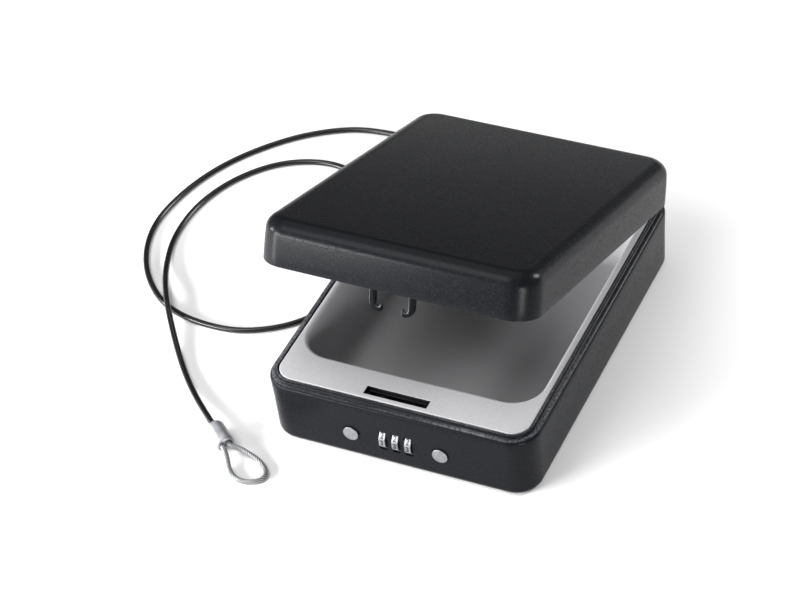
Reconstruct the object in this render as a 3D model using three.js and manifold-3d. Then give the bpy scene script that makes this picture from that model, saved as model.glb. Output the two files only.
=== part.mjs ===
// Portable car safe with a hinged lid, a three-dial lock released by two buttons, and a tether cable.
// Millimetres. X runs to the right along the front, Y to the back, Z up. The origin is the centre of
// the underside. The lid is built shut and then turned open about its hinge, as it stands at rest.
import * as THREE from 'three';
import { mergeVertices } from 'three/addons/utils/BufferGeometryUtils.js';
import Module from 'manifold-3d';

const wasm = await Module();
wasm.setup();

// Gaps between pieces that touch or slide
const GAP = 0.3;
const SLIDE_GAP = 0.5;

// Case outline, shared by base and lid
const CASE_WIDTH = 180;
const CASE_DEPTH = 245;
const CORNER_RADIUS = 18;
const SHEET = 1.4;
const CORNER_STEPS = 7;

// Base shell
const LEDGE_HEIGHT = 46;
const LEDGE_EDGE_RADIUS = 1;
const BASE_DRAFT = 1.2;
const BASE_FILLET = 5;
const LEDGE_WIDTH = 2;
const LIP_HEIGHT = 2.5;
const LIP_THICKNESS = 1.5;

// Lid shell, and how far it stands open
const LID_HEIGHT = 28.9;
const LID_EDGE_RADIUS = 7;
const LID_DRAFT = 0.6;
const LID_REST_ANGLE = 20.8;

// Moulded liner: rim, tub and latch slot
const RIM_CLEARANCE = 0.5;
const LINER_WALL = 2;
const RIM_SKIRT = 3;
const SIDE_RIM_WIDTH = 4.5;
const FRONT_RIM_WIDTH = 27.5;
const BACK_RIM_WIDTH = 16.5;
const TUB_CORNER_RADIUS = 20;
const TUB_EDGE_RADIUS = 2.4;
const TUB_FLOOR_RADIUS = 11;
const TUB_DRAFT = 2;
const SLOT_LENGTH = 41.6;
const SLOT_WIDTH = 6.4;
const SLOT_SETBACK = 8.8;

// Lid hooks
const LATCH_X = -2.8;
const HOOK_SPAN = 29.9;
const HOOK_REACH = 8.7;
const HOOK_SHANK = 4.2;
const HOOK_THROAT_DEPTH = 4.6;
const HOOK_PLATE = 2.5;
const HOOK_DROP = 18.25;
const HOOK_FLANGE = 14;

// Dials, cams and shaft
const LOCK_X = -0.6;
const DIAL_Z = 20.2;
const DIAL_RADIUS = 8.6;
const DIAL_WIDTH = 4.2;
const DIAL_PITCH = 8.6;
const DIAL_PROUD = 2.1;
const DIAL_FIGURES = 10;
const DIAL_GROOVE = 0.5;
const SHAFT_RADIUS = 2;
const SLEEVE_RADIUS = 3.2;
const CAM_RADIUS = 4.8;
const CAM_THICKNESS = 1.6;
const CAM_NOTCH_WIDTH = 2.6;
const CAM_NOTCH_DEPTH = 1.4;
const WINDOW_WIDTH = 5;
const WINDOW_HEIGHT = 15.2;

// Buttons
const BUTTON_SPACING = 60;
const BUTTON_Z = 20.6;
const BUTTON_RADIUS = 5.1;
const BUTTON_PROUD = 1.2;
const BUTTON_TRAVEL = 3.2;
const STEM_RADIUS = 3;
const WEDGE_SLOPE = 1.375;

// Catches
const CATCH_THICKNESS = 3.7;
const CATCH_ARM_WIDTH = 5.6;
const NOSE_WIDTH = 5.2;
const LUG_THICKNESS = 1.5;
const LUG_HEIGHT = 4.6;

// Lock housing
const HOUSING_HALF_LENGTH = 46;
const HOUSING_WALL = 2;
const HOUSING_FLOOR_Z = 6;
const HOUSING_BELOW_LEDGE = 2.4;
const COVER_THICKNESS = 1.2;
const STUD_RADIUS = 1.5;
const STUD_INSET = 5;
const NUT_FLATS = 5.5;
const NUT_THICKNESS = 2.4;

// Springs
const BUTTON_SPRING_RADIUS = 4.3;
const BUTTON_SPRING_WIRE = 0.4;
const CATCH_SPRING_RADIUS = 1.6;
const CATCH_SPRING_WIRE = 0.25;
const SHAFT_SPRING_RADIUS = 3.2;
const SHAFT_SPRING_WIRE = 0.3;

// Hinge
const HINGE_SETBACK = 4.5;
const HINGE_RISE = 2;
const KNUCKLE_RADIUS = 2.7;
const PIN_RADIUS = 1.25;
const LEAF_THICKNESS = 1.4;
const LEAF_OFFSET = 2.2;
const LEAF_HALF_LENGTH = 66;
const LEAF_HEIGHT = 18;
const KNUCKLE_COUNT = 5;
const LID_NOTCH_DEPTH = 7;
const LID_NOTCH_HEIGHT = 6.5;

// Tether cable: grommet, stop, crimped sleeve and bare wire eye
const CABLE_RADIUS = 2;
const CABLE_SIDES = 8;
const CABLE_STEPS = 80;
const CABLE_INSET = 30;
const CABLE_Z = 14;
const GROMMET_FLANGE = 5.6;
const GROMMET_GROOVE = 3.9;
const GROMMET_LIP = 1.6;
const STOP_RADIUS = 4.5;
const STOP_LENGTH = 12;
const FERRULE_RADIUS = 6;
const FERRULE_LENGTH = 19.2;
const EYE_WIRE_RADIUS = 1.75;
const EYE_LEG_SPREAD = 2.4;

// Route of the cable from its stop, out of the back wall, round its loose loops to the crimped sleeve.
// Its points, the sleeve's start and the eye's points are offsets from the back left corner of the case.
const cableRoute = [
  [30, 8.5, 14], [29.2, 16.5, 13.4], [25, 27.5, 11], [16, 37, 7], [2, 45, 3.6],
  [-17, 50.5, 2.1], [-48, 52.9, 2.05], [-78, 49, 2.05], [-107, 33.5, 2.05], [-131, 10.5, 2.05],
  [-150, -17.5, 2.05], [-162, -50.5, 2.05], [-165.5, -84.5, 2.05], [-158, -114.5, 2.05], [-141, -141, 2.05],
  [-117, -160, 2.05], [-88, -167.5, 2.05], [-58, -165, 2.05], [-31, -149.5, 2.05], [-14, -125.5, 2.05],
  [-6, -98.5, 2.05], [-5.5, -69.5, 2.05], [-12, -40.5, 2.05], [-27, -15.5, 2.05], [-51, 3, 2.05],
  [-81, 8.8, 2.05], [-111, -2, 2.05], [-134, -27.5, 2.05], [-146, -60.5, 2.05], [-146, -94.5, 2.1],
  [-136, -126.5, 3.4], [-118.5, -158, 6.6], [-100, -184, 4.2], [-80, -209, 2.2], [-60, -230.5, 3.6],
];
// Where the crimped sleeve starts, and the direction in which it lies
const ferruleOffset = [-32.91, -254.81, FERRULE_RADIUS];
const ferruleHeading = new THREE.Vector3(0.764, -0.645, 0).normalize();
// Far part of the eye, between its two straight legs
const eyeRoute = [
  [-13.3, -275.8, 3.9], [-9.8, -280.9, 2.4], [-6.2, -284.6, 1.85], [-1.4, -287.5, 1.8], [3.6, -288.4, 1.8],
  [8.4, -287.6, 1.8], [12.3, -285.4, 1.8], [14.6, -281.9, 1.8], [14.4, -277.9, 1.8], [11.9, -274, 1.8],
  [7.4, -270.4, 1.8], [1.8, -267.8, 2.1], [-4, -266.4, 3], [-9.3, -265.9, 4.4],
];

// Sizes that follow from those above
const closedSkirtZ = LEDGE_HEIGHT + GAP;
const lipTop = LEDGE_HEIGHT + LIP_HEIGHT;
const rimInset = LEDGE_WIDTH + LIP_THICKNESS + RIM_CLEARANCE;
const frontY = -CASE_DEPTH / 2;
const backY = CASE_DEPTH / 2;
const hingeY = backY - HINGE_SETBACK;
const hingeZ = LEDGE_HEIGHT + HINGE_RISE;
const tubHalfWidth = CASE_WIDTH / 2 - rimInset - SIDE_RIM_WIDTH;
const tubFrontY = frontY + rimInset + FRONT_RIM_WIDTH;
const tubBackY = backY - rimInset - BACK_RIM_WIDTH;
const slotY = frontY + rimInset + SLOT_SETBACK;
const linerFloorZ = SHEET + GAP;

// How far the base wall leans in at height z, measured from the case outline
const wallInset = (z) => BASE_DRAFT * (1 - (z - BASE_FILLET) / (LEDGE_HEIGHT - BASE_FILLET));
const frontWallInner = frontY + wallInset(BUTTON_Z) + SHEET;

const cableX = CABLE_INSET - CASE_WIDTH / 2;
const fromBackLeft = ([x, y, z]) => new THREE.Vector3(x - CASE_WIDTH / 2, y + backY, z);
const ferruleStart = fromBackLeft(ferruleOffset);
const dialY = frontY + wallInset(DIAL_Z) + DIAL_RADIUS - DIAL_PROUD;
const buttonY = frontY + wallInset(BUTTON_Z) - BUTTON_PROUD;
const shaftReach = 1.5 * DIAL_PITCH + 3.6;
const cheekThickness = 1.8;

// Lock housing planes, front to back
const housingFront = frontY + wallInset(HOUSING_FLOOR_Z) + SHEET + SLIDE_GAP;
const platePlane = housingFront + HOUSING_WALL;
const housingBack = tubFrontY - LINER_WALL - 3;
const housingFloorTop = HOUSING_FLOOR_Z + HOUSING_WALL;
const housingTop = LEDGE_HEIGHT - HOUSING_BELOW_LEDGE;

// Hooks and catches, in the closed position
const hookFrontY = slotY - HOOK_PLATE / 2;
const hookBottomZ = closedSkirtZ - HOOK_DROP;
const catchZ = hookBottomZ + HOOK_THROAT_DEPTH + 0.4;
const catchTop = catchZ + CATCH_THICKNESS;
const catchFrontY = slotY + HOOK_PLATE / 2 + 2.45;
const catchBackY = catchFrontY + CATCH_ARM_WIDTH;
const noseFrontY = hookFrontY - 1.5;
const noseTip = HOOK_SPAN / 2 - HOOK_SHANK - 0.4;
const lugOuter = noseTip + 8.5;
const postOuter = noseTip - 0.2;
const postThickness = 1.6;
const guideBack = catchFrontY - GAP;
const guideThickness = 1.6;
const wedgeReach = 6.7;
const wedgeBackY = catchFrontY + 4.1;
const catchSpringZ = catchTop + LUG_HEIGHT / 2 + 0.2;

// Turns a geometry into a manifold solid: only positions, shared vertices merged, faces pointing out
function solid(geometry) {
  const bare = new THREE.BufferGeometry();
  bare.setAttribute('position', geometry.getAttribute('position').clone());
  if (geometry.index) bare.setIndex(geometry.index.clone());
  const merged = mergeVertices(bare, 1e-4);
  const place = merged.getAttribute('position').array;
  const corners = [];
  let volume = 0;
  const at = (i) => new THREE.Vector3().fromArray(place, 3 * i);
  for (let t = 0; t < merged.index.count; t += 3) {
    const [a, b, c] = [0, 1, 2].map((k) => merged.index.getX(t + k));
    if (a === b || b === c || c === a) continue;
    corners.push(a, b, c);
    volume += at(a).dot(at(b).cross(at(c)));
  }
  if (volume < 0) corners.reverse();
  const mesh = new wasm.Mesh({
    numProp: 3,
    vertProperties: Float32Array.from(place),
    triVerts: Uint32Array.from(corners),
  });
  return new wasm.Manifold(mesh);
}

// Turns a manifold solid back into a geometry
function geometryOf(manifold) {
  const mesh = manifold.getMesh();
  const geometry = new THREE.BufferGeometry();
  geometry.setAttribute('position', new THREE.BufferAttribute(Float32Array.from(mesh.vertProperties), 3));
  geometry.setIndex(new THREE.BufferAttribute(Uint32Array.from(mesh.triVerts), 1));
  return geometry;
}

const join = (...geometries) => geometries.map(solid).reduce((whole, piece) => whole.add(piece));
const cut = (whole, ...geometries) => geometries.reduce((rest, tool) => rest.subtract(solid(tool)), whole);

// Box between two corners
function box(x0, x1, y0, y1, z0, z1) {
  const geometry = new THREE.BoxGeometry(x1 - x0, y1 - y0, z1 - z0);
  return geometry.translate((x0 + x1) / 2, (y0 + y1) / 2, (z0 + z1) / 2);
}

// Cylinder along Y or X
function rodY(radius, y0, y1, x, z, sides = 24) {
  return new THREE.CylinderGeometry(radius, radius, y1 - y0, sides).translate(x, (y0 + y1) / 2, z);
}

function rodX(radius, x0, x1, y, z, sides = 24) {
  const geometry = new THREE.CylinderGeometry(radius, radius, x1 - x0, sides).rotateZ(-Math.PI / 2);
  return geometry.translate((x0 + x1) / 2, y, z);
}

// Extrusions of an outline: along X from [y, z] points, along Y from [x, z] points, along Z from [x, y]
function outline(points, holes = []) {
  const shape = new THREE.Shape(points.map(([u, v]) => new THREE.Vector2(u, v)));
  shape.holes = holes.map((hole) => new THREE.Path(hole.map(([u, v]) => new THREE.Vector2(u, v))));
  return shape;
}

function extrude(shape, depth) {
  return new THREE.ExtrudeGeometry(shape, { depth, bevelEnabled: false, steps: 1 });
}

const alongX = (points, x0, x1, holes) => extrude(outline(points, holes), x1 - x0)
  .applyMatrix4(new THREE.Matrix4().set(0, 0, 1, x0, 1, 0, 0, 0, 0, 1, 0, 0, 0, 0, 0, 1));

const alongY = (points, y0, y1) => extrude(outline(points.map(([x, z]) => [z, x])), y1 - y0)
  .applyMatrix4(new THREE.Matrix4().set(0, 1, 0, 0, 0, 0, 1, y0, 1, 0, 0, 0, 0, 0, 0, 1));

const alongZ = (points, z0, z1) => extrude(outline(points), z1 - z0).translate(0, 0, z0);

// Points on a circle or an arc of one, angles in degrees
function arc(cx, cy, radius, from, to, steps) {
  return Array.from({ length: steps + 1 }, (_, i) => {
    const angle = THREE.MathUtils.degToRad(from + ((to - from) * i) / steps);
    return [cx + radius * Math.cos(angle), cy + radius * Math.sin(angle)];
  });
}

const circle = (cx, cy, radius, sides) => arc(cx, cy, radius, 0, 360, sides).slice(0, -1);

// Rounded rectangle as a ring of points at height z
function roundedRing(x0, x1, y0, y1, radius, z) {
  const r = Math.max(radius, 0.4);
  return [
    ...arc(x1 - r, y1 - r, r, 0, 90, CORNER_STEPS),
    ...arc(x0 + r, y1 - r, r, 90, 180, CORNER_STEPS),
    ...arc(x0 + r, y0 + r, r, 180, 270, CORNER_STEPS),
    ...arc(x1 - r, y0 + r, r, 270, 360, CORNER_STEPS),
  ].map(([x, y]) => new THREE.Vector3(x, y, z));
}

const caseRing = (inset, z) => roundedRing(
  -CASE_WIDTH / 2 + inset, CASE_WIDTH / 2 - inset, frontY + inset, backY - inset, CORNER_RADIUS - inset, z,
);

// Skin over a row of rings with equal counts, its two ends closed by fans
function loft(rings) {
  const count = rings[0].length;
  const places = rings.flat().flatMap((p) => p.toArray());
  const index = [];
  for (let r = 0; r + 1 < rings.length; r += 1) {
    for (let i = 0; i < count; i += 1) {
      const [a, b] = [r * count + i, r * count + ((i + 1) % count)];
      index.push(a, b, b + count, a, b + count, a + count);
    }
  }
  [[0, 1], [rings.length - 1, -1]].forEach(([r, side]) => {
    const middle = rings[r].reduce((sum, p) => sum.add(p), new THREE.Vector3()).divideScalar(count);
    const centre = places.push(...middle.toArray()) / 3 - 1;
    for (let i = 0; i < count; i += 1) {
      const [a, b] = [r * count + i, r * count + ((i + 1) % count)];
      index.push(centre, ...(side > 0 ? [b, a] : [a, b]));
    }
  });
  const geometry = new THREE.BufferGeometry();
  geometry.setAttribute('position', new THREE.Float32BufferAttribute(places, 3));
  geometry.setIndex(index);
  return geometry;
}

// Coil spring on an axis: rings of five points that follow the helix
function coil(start, end, radius, wire, curls) {
  const axis = end.clone().sub(start);
  const length = axis.length() - 2 * wire;
  axis.normalize();
  const side = new THREE.Vector3(0, 0, 1).cross(axis).normalize();
  const up = axis.clone().cross(side);
  const steps = 8 * curls;
  const rings = Array.from({ length: steps + 1 }, (_, i) => {
    const turn = (2 * Math.PI * curls * i) / steps;
    const out = side.clone().multiplyScalar(Math.cos(turn)).addScaledVector(up, Math.sin(turn));
    const centre = start.clone().addScaledVector(axis, wire + (length * i) / steps);
    centre.addScaledVector(out, radius - wire);
    return arc(0, 0, wire, 0, 288, 4)
      .map(([u, v]) => centre.clone().addScaledVector(out, u).addScaledVector(axis, v));
  });
  return loft(rings);
}

// Round tube along a smooth path
function tube(path, radius, sides, steps) {
  const section = outline(circle(0, 0, radius, sides));
  return new THREE.ExtrudeGeometry(section, { steps, bevelEnabled: false, extrudePath: path });
}

// Solid of revolution: profile of [radius, height] pairs, closed on itself or on the axis
function lathe(profile, sides) {
  return new THREE.LatheGeometry(profile.map(([r, h]) => new THREE.Vector2(r, h)), sides);
}

const closedProfile = (profile) => [...profile, profile[0]];

// Finishes
const finishes = {
  blackPaint: { color: 0x2c2d31, roughness: 0.55, metalness: 0.2 },
  greyPlastic: { color: 0xb9b9ba, roughness: 0.7, metalness: 0 },
  blackSteel: { color: 0x1e1f22, roughness: 0.45, metalness: 0.5 },
  zincCasting: { color: 0x8d9094, roughness: 0.5, metalness: 0.8 },
  steel: { color: 0xa6a9ad, roughness: 0.35, metalness: 1 },
  chromePlate: { color: 0xc9ccd1, roughness: 0.2, metalness: 1 },
  blackRubber: { color: 0x141415, roughness: 0.7, metalness: 0 },
  blackVinyl: { color: 0x101113, roughness: 0.25, metalness: 0 },
  aluminium: { color: 0xc8cacd, roughness: 0.35, metalness: 0.9 },
};

const safe = new THREE.Group();
const lid = new THREE.Group();
lid.position.set(0, hingeY, hingeZ);
lid.rotation.x = -THREE.MathUtils.degToRad(LID_REST_ANGLE);
safe.add(lid);

// Adds a named piece; a piece of the lid is given shut, in the frame of the case
function addPiece(name, shape, finish, parent = safe) {
  const geometry = shape.isBufferGeometry ? geometryOf(solid(shape)) : geometryOf(shape);
  if (parent === lid) geometry.translate(0, -hingeY, -hingeZ);
  const mesh = new THREE.Mesh(geometry, new THREE.MeshStandardMaterial(finishes[finish]));
  mesh.name = name;
  parent.add(mesh);
}

const dialPlaces = [-1, 0, 1].map((k) => LOCK_X + k * DIAL_PITCH);
const sides = [
  { name: 'left', sign: -1, buttonX: LOCK_X - BUTTON_SPACING / 2 },
  { name: 'right', sign: 1, buttonX: LOCK_X + BUTTON_SPACING / 2 },
];
const studPlaces = [-1, 1].flatMap((u) => [HOUSING_FLOOR_Z + 1.3 * STUD_INSET, housingTop - STUD_INSET]
  .map((z) => [LOCK_X + u * (HOUSING_HALF_LENGTH - STUD_INSET), z]));

// Base shell: pressed tub with a stepped ledge, an inner lip and openings for the lock and the cable
function baseShell() {
  const inner = wallInset(LEDGE_HEIGHT) + SHEET;
  const lipOut = LEDGE_WIDTH;
  const lipIn = LEDGE_WIDTH + LIP_THICKNESS;
  const foot = BASE_DRAFT + BASE_FILLET;
  const innerFillet = BASE_FILLET - SHEET;
  const rings = [
    ...arc(foot, BASE_FILLET, BASE_FILLET, 270, 180, 3).map(([inset, z]) => caseRing(inset, z)),
    caseRing(0, LEDGE_HEIGHT - LEDGE_EDGE_RADIUS),
    caseRing(0.3 * LEDGE_EDGE_RADIUS, LEDGE_HEIGHT - 0.3 * LEDGE_EDGE_RADIUS),
    caseRing(LEDGE_EDGE_RADIUS, LEDGE_HEIGHT),
    caseRing(lipOut, LEDGE_HEIGHT),
    caseRing(lipOut, lipTop - GAP),
    caseRing(lipOut + GAP, lipTop),
    caseRing(lipIn - GAP, lipTop),
    caseRing(lipIn, lipTop - GAP),
    caseRing(lipIn, LEDGE_HEIGHT - SHEET),
    caseRing(inner, LEDGE_HEIGHT - 2 * SHEET),
    ...arc(foot, BASE_FILLET, innerFillet, 180, 270, 3).map(([inset, z]) => caseRing(inset, z)),
  ];
  const studs = studPlaces.map(([x, z]) => rodY(STUD_RADIUS, frontY + wallInset(z) + SHEET / 2,
    platePlane + NUT_THICKNESS + 1.2, x, z, 12));
  const front = [frontY - 1, frontWallInner + 2];
  const windows = dialPlaces.map((x) => box(x - WINDOW_WIDTH / 2, x + WINDOW_WIDTH / 2, ...front,
    DIAL_Z - WINDOW_HEIGHT / 2, DIAL_Z + WINDOW_HEIGHT / 2));
  const holes = sides.map((side) => rodY(BUTTON_RADIUS + 0.4, ...front, side.buttonX, BUTTON_Z, 32));
  const cableHole = rodY(GROMMET_GROOVE + GAP, backY - 5, backY + 1, cableX, CABLE_Z);
  const hingeGap = box(-LEAF_HALF_LENGTH - 1, LEAF_HALF_LENGTH + 1, hingeY - KNUCKLE_RADIUS - 1, backY + 1,
    LEDGE_HEIGHT - 2 * SHEET - GAP, lipTop + 1);
  addPiece('base_shell', cut(join(loft(rings), ...studs), ...windows, ...holes, cableHole, hingeGap), 'blackPaint');
}

// Liner: moulded tray with a wide front rim over the lock, and the slot that the hooks enter
function liner() {
  const ring = (grow, z, radius = TUB_CORNER_RADIUS) => roundedRing(
    -tubHalfWidth - grow, tubHalfWidth + grow, tubFrontY - grow, tubBackY + grow, radius + grow, z,
  );
  const innerFloor = linerFloorZ + LINER_WALL;
  const lean = (z) => (-TUB_DRAFT * (lipTop - z)) / (lipTop - innerFloor);
  const floorRing = ([u, z]) => ring(lean(z) - u, z);
  const rings = [
    ...arc(TUB_FLOOR_RADIUS, innerFloor + TUB_FLOOR_RADIUS, TUB_FLOOR_RADIUS, 270, 180, 4).map(floorRing),
    ...arc(-TUB_EDGE_RADIUS, lipTop - TUB_EDGE_RADIUS, TUB_EDGE_RADIUS, 0, 90, 3).map(floorRing),
    caseRing(rimInset + 0.6, lipTop),
    caseRing(rimInset, lipTop - 0.6),
    caseRing(rimInset, lipTop - RIM_SKIRT),
    caseRing(rimInset + LINER_WALL, lipTop - RIM_SKIRT),
    caseRing(rimInset + LINER_WALL, lipTop - LINER_WALL),
    ring(LINER_WALL, lipTop - LINER_WALL),
    ...arc(TUB_FLOOR_RADIUS, innerFloor + TUB_FLOOR_RADIUS, TUB_FLOOR_RADIUS + LINER_WALL, 180, 270, 4)
      .map(floorRing),
  ];
  const slot = box(LATCH_X - SLOT_LENGTH / 2, LATCH_X + SLOT_LENGTH / 2, slotY - SLOT_WIDTH / 2,
    slotY + SLOT_WIDTH / 2, lipTop - 2 * LINER_WALL, lipTop + 1);
  const hingeGap = box(-LEAF_HALF_LENGTH - 1.6, LEAF_HALF_LENGTH + 1.6, hingeY - KNUCKLE_RADIUS - 0.6, backY,
    linerFloorZ, lipTop + 1);
  addPiece('liner_tray', cut(solid(loft(rings)), slot, hingeGap), 'greyPlastic');
}

// Lid shell: pressed cover whose back skirt is cut away round the hinge barrel
function lidShell() {
  const top = closedSkirtZ + LID_HEIGHT;
  const bend = LID_DRAFT + LID_EDGE_RADIUS;
  const rings = [
    ...arc(bend, top - LID_EDGE_RADIUS, LID_EDGE_RADIUS, 90, 180, 5).map(([inset, z]) => caseRing(inset, z)),
    caseRing(0, closedSkirtZ + GAP),
    caseRing(GAP, closedSkirtZ),
    caseRing(SHEET, closedSkirtZ),
    ...arc(bend, top - LID_EDGE_RADIUS, LID_EDGE_RADIUS - SHEET, 180, 90, 4).map(([inset, z]) => caseRing(inset, z)),
  ];
  const notch = box(-CASE_WIDTH, CASE_WIDTH, backY - LID_NOTCH_DEPTH, backY + 1, closedSkirtZ - 1,
    closedSkirtZ + LID_NOTCH_HEIGHT);
  addPiece('lid_shell', cut(solid(loft(rings)), notch), 'blackPaint', lid);
}

// Hook plate: bracket under the lid with two hooks whose tips point at each other
function hookPlate() {
  const top = closedSkirtZ + LID_HEIGHT - SHEET - GAP;
  const half = HOOK_SPAN / 2;
  const throat = hookBottomZ + HOOK_THROAT_DEPTH;
  const arch = closedSkirtZ + 3;
  const inner = half - HOOK_SHANK;
  const tip = half - HOOK_REACH;
  const rightSide = [
    [0, arch], [inner - 2, arch], [inner, arch - 2],
    ...arc((inner + tip + 1.2) / 2, throat, (inner - tip - 1.2) / 2, 0, -180, 6), [tip + 0.4, throat],
    [tip, throat - 0.5], [tip, throat - 2.6],
    ...arc(half - 6.6, hookBottomZ + 6.6, 6.6, 257, 360, 7),
    [half, closedSkirtZ + 5], [half + 3, closedSkirtZ + 9], [half + 3, top], [0, top],
  ];
  const mirrored = rightSide.slice(1, -1).reverse().map(([x, z]) => [-x, z]);
  const face = [...rightSide.slice(1, -1), ...mirrored].map(([x, z]) => [LATCH_X + x, z]);
  const plate = alongY(face, hookFrontY, hookFrontY + HOOK_PLATE);
  const flange = box(LATCH_X - half - 3, LATCH_X + half + 3, hookFrontY + HOOK_PLATE / 2,
    hookFrontY + HOOK_FLANGE, top - HOOK_PLATE, top);
  addPiece('hook_plate', join(plate, flange), 'blackSteel', lid);
}

// Hinge: two leaves with knuckles in turn on one pin
function hinge() {
  const step = (2 * LEAF_HALF_LENGTH) / KNUCKLE_COUNT;
  const leafOut = hingeY + LEAF_OFFSET;
  const leafIn = leafOut - LEAF_THICKNESS;
  const bore = [circle(hingeY, hingeZ, PIN_RADIUS + GAP, 16)];
  const barrelClear = KNUCKLE_RADIUS + 0.4;
  const leaf = (up, parity) => {
    const far = hingeZ + up * LEAF_HEIGHT;
    const near = hingeZ + up * barrelClear;
    const rise = [Math.min(far, near), Math.max(far, near)];
    const pieces = [box(-LEAF_HALF_LENGTH, LEAF_HALF_LENGTH, leafIn, leafOut, ...rise)];
    for (let k = parity; k < KNUCKLE_COUNT; k += 2) {
      const x0 = -LEAF_HALF_LENGTH + k * step + GAP / 2;
      const x1 = x0 + step - GAP;
      const curl = [
        [leafOut, hingeZ + up * (barrelClear + 0.5)], [leafIn, hingeZ + up * (barrelClear + 0.5)],
        ...arc(hingeY, hingeZ, KNUCKLE_RADIUS, up * 73, up * 395, 20),
      ];
      pieces.push(alongX(curl, x0, x1, bore));
    }
    return join(...pieces);
  };
  addPiece('hinge_leaf_base', leaf(-1, 0), 'blackSteel');
  addPiece('hinge_leaf_lid', leaf(1, 1), 'blackSteel', lid);
  addPiece('hinge_pin', rodX(PIN_RADIUS, -LEAF_HALF_LENGTH, LEAF_HALF_LENGTH, hingeY, hingeZ, 16), 'steel');
}

// Lock housing: open channel with shaft cheeks, button guides, catch shelf and spring posts
function lockHousing() {
  const x0 = LOCK_X - HOUSING_HALF_LENGTH;
  const x1 = LOCK_X + HOUSING_HALF_LENGTH;
  const channel = [
    [housingFront, HOUSING_FLOOR_Z], [housingBack, HOUSING_FLOOR_Z], [housingBack, housingTop],
    [housingBack - HOUSING_WALL, housingTop], [housingBack - HOUSING_WALL, housingFloorTop],
    [platePlane, housingFloorTop], [platePlane, housingTop], [housingFront, housingTop],
  ];
  const rear = housingBack - HOUSING_WALL / 2;
  const pieces = [alongX(channel, x0, x1)];
  const tools = [rodX(SHAFT_RADIUS + GAP, x0, x1, dialY, DIAL_Z)];
  sides.forEach(({ sign, buttonX }) => {
    const cheek = [LOCK_X + sign * shaftReach, LOCK_X + sign * (shaftReach + cheekThickness)].sort((a, b) => a - b);
    pieces.push(box(...cheek, housingFront, rear, HOUSING_FLOOR_Z + 0.5, DIAL_Z + DIAL_RADIUS - 1.4));
    pieces.push(box(buttonX - 8, buttonX + 8, guideBack - guideThickness, guideBack,
      HOUSING_FLOOR_Z + 0.5, housingTop));
    const post = [LATCH_X + sign * postOuter, LATCH_X + sign * (postOuter - postThickness)].sort((a, b) => a - b);
    pieces.push(box(...post, catchFrontY, rear, catchTop + SLIDE_GAP, housingTop));
    tools.push(rodY(STEM_RADIUS + GAP, guideBack - 3, guideBack + 1, buttonX, BUTTON_Z));
    tools.push(rodY(BUTTON_RADIUS + 1.8, housingFront - 1, platePlane + 0.2, buttonX, BUTTON_Z));
    const beyond = [1, 4].map((u) => LOCK_X + sign * (shaftReach + cheekThickness + (u > 1 ? u : 0)));
    tools.push(box(Math.min(...beyond), Math.max(...beyond), housingFront - 1, platePlane + 0.2,
      DIAL_Z - 4, DIAL_Z + 4));
  });
  pieces.push(box(LOCK_X - shaftReach - 5, LOCK_X + shaftReach + 5, catchFrontY, rear,
    catchZ - GAP - HOUSING_WALL, catchZ - GAP));
  tools.push(box(LOCK_X - shaftReach, LOCK_X + shaftReach, housingFront - 1, platePlane + 0.2,
    DIAL_Z - DIAL_RADIUS - SLIDE_GAP, DIAL_Z + DIAL_RADIUS + SLIDE_GAP));
  studPlaces.forEach(([x, z]) => tools.push(rodY(STUD_RADIUS + GAP, housingFront - 1, platePlane + 1, x, z, 12)));
  tools.push(box(LOCK_X - shaftReach - 3, LOCK_X + shaftReach + 3, ...gateBarY.map((y, i) => y + (i ? GAP : -GAP)),
    ...gateBarZ.map((z, i) => z + (i ? GAP : -GAP))));
  addPiece('lock_housing', cut(join(...pieces), ...tools), 'zincCasting');

  const slot = box(LATCH_X - SLOT_LENGTH / 2, LATCH_X + SLOT_LENGTH / 2, slotY - SLOT_WIDTH / 2,
    slotY + SLOT_WIDTH / 2, housingTop, housingTop + 2 * COVER_THICKNESS);
  const cover = box(x0, x1, frontY + LEDGE_WIDTH + LIP_THICKNESS + GAP, housingBack,
    housingTop + GAP, housingTop + GAP + COVER_THICKNESS);
  addPiece('lock_cover', cut(solid(cover), slot), 'blackSteel');

  studPlaces.forEach(([x, z], i) => {
    const near = platePlane + GAP;
    const hexagon = rodY(NUT_FLATS / Math.sqrt(3), near, near + NUT_THICKNESS, x, z, 6);
    const bore = rodY(STUD_RADIUS + GAP, near - 1, near + NUT_THICKNESS + 1, x, z, 16);
    addPiece(`housing_nut_${i + 1}`, cut(solid(hexagon), bore), 'steel');
  });
}

// Gate bar: its fingers face the notches of the cams
const gateBarY = [dialY + DIAL_RADIUS + SLIDE_GAP, dialY + DIAL_RADIUS + SLIDE_GAP + 2.2];
const gateBarZ = [DIAL_Z - 1.1, DIAL_Z + 1.1];
const camStart = DIAL_WIDTH / 2 + 0.4;

function gateBar() {
  const reach = shaftReach + cheekThickness + 0.6;
  const fingers = dialPlaces.map((x) => box(x + camStart + 0.2, x + camStart + CAM_THICKNESS - 0.2,
    dialY + CAM_RADIUS + SLIDE_GAP, gateBarY[0] + 0.4, gateBarZ[0] + 0.2, gateBarZ[1] - 0.2));
  addPiece('gate_bar', join(box(LOCK_X - reach, LOCK_X + reach, ...gateBarY, ...gateBarZ), ...fingers), 'steel');
}

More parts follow.
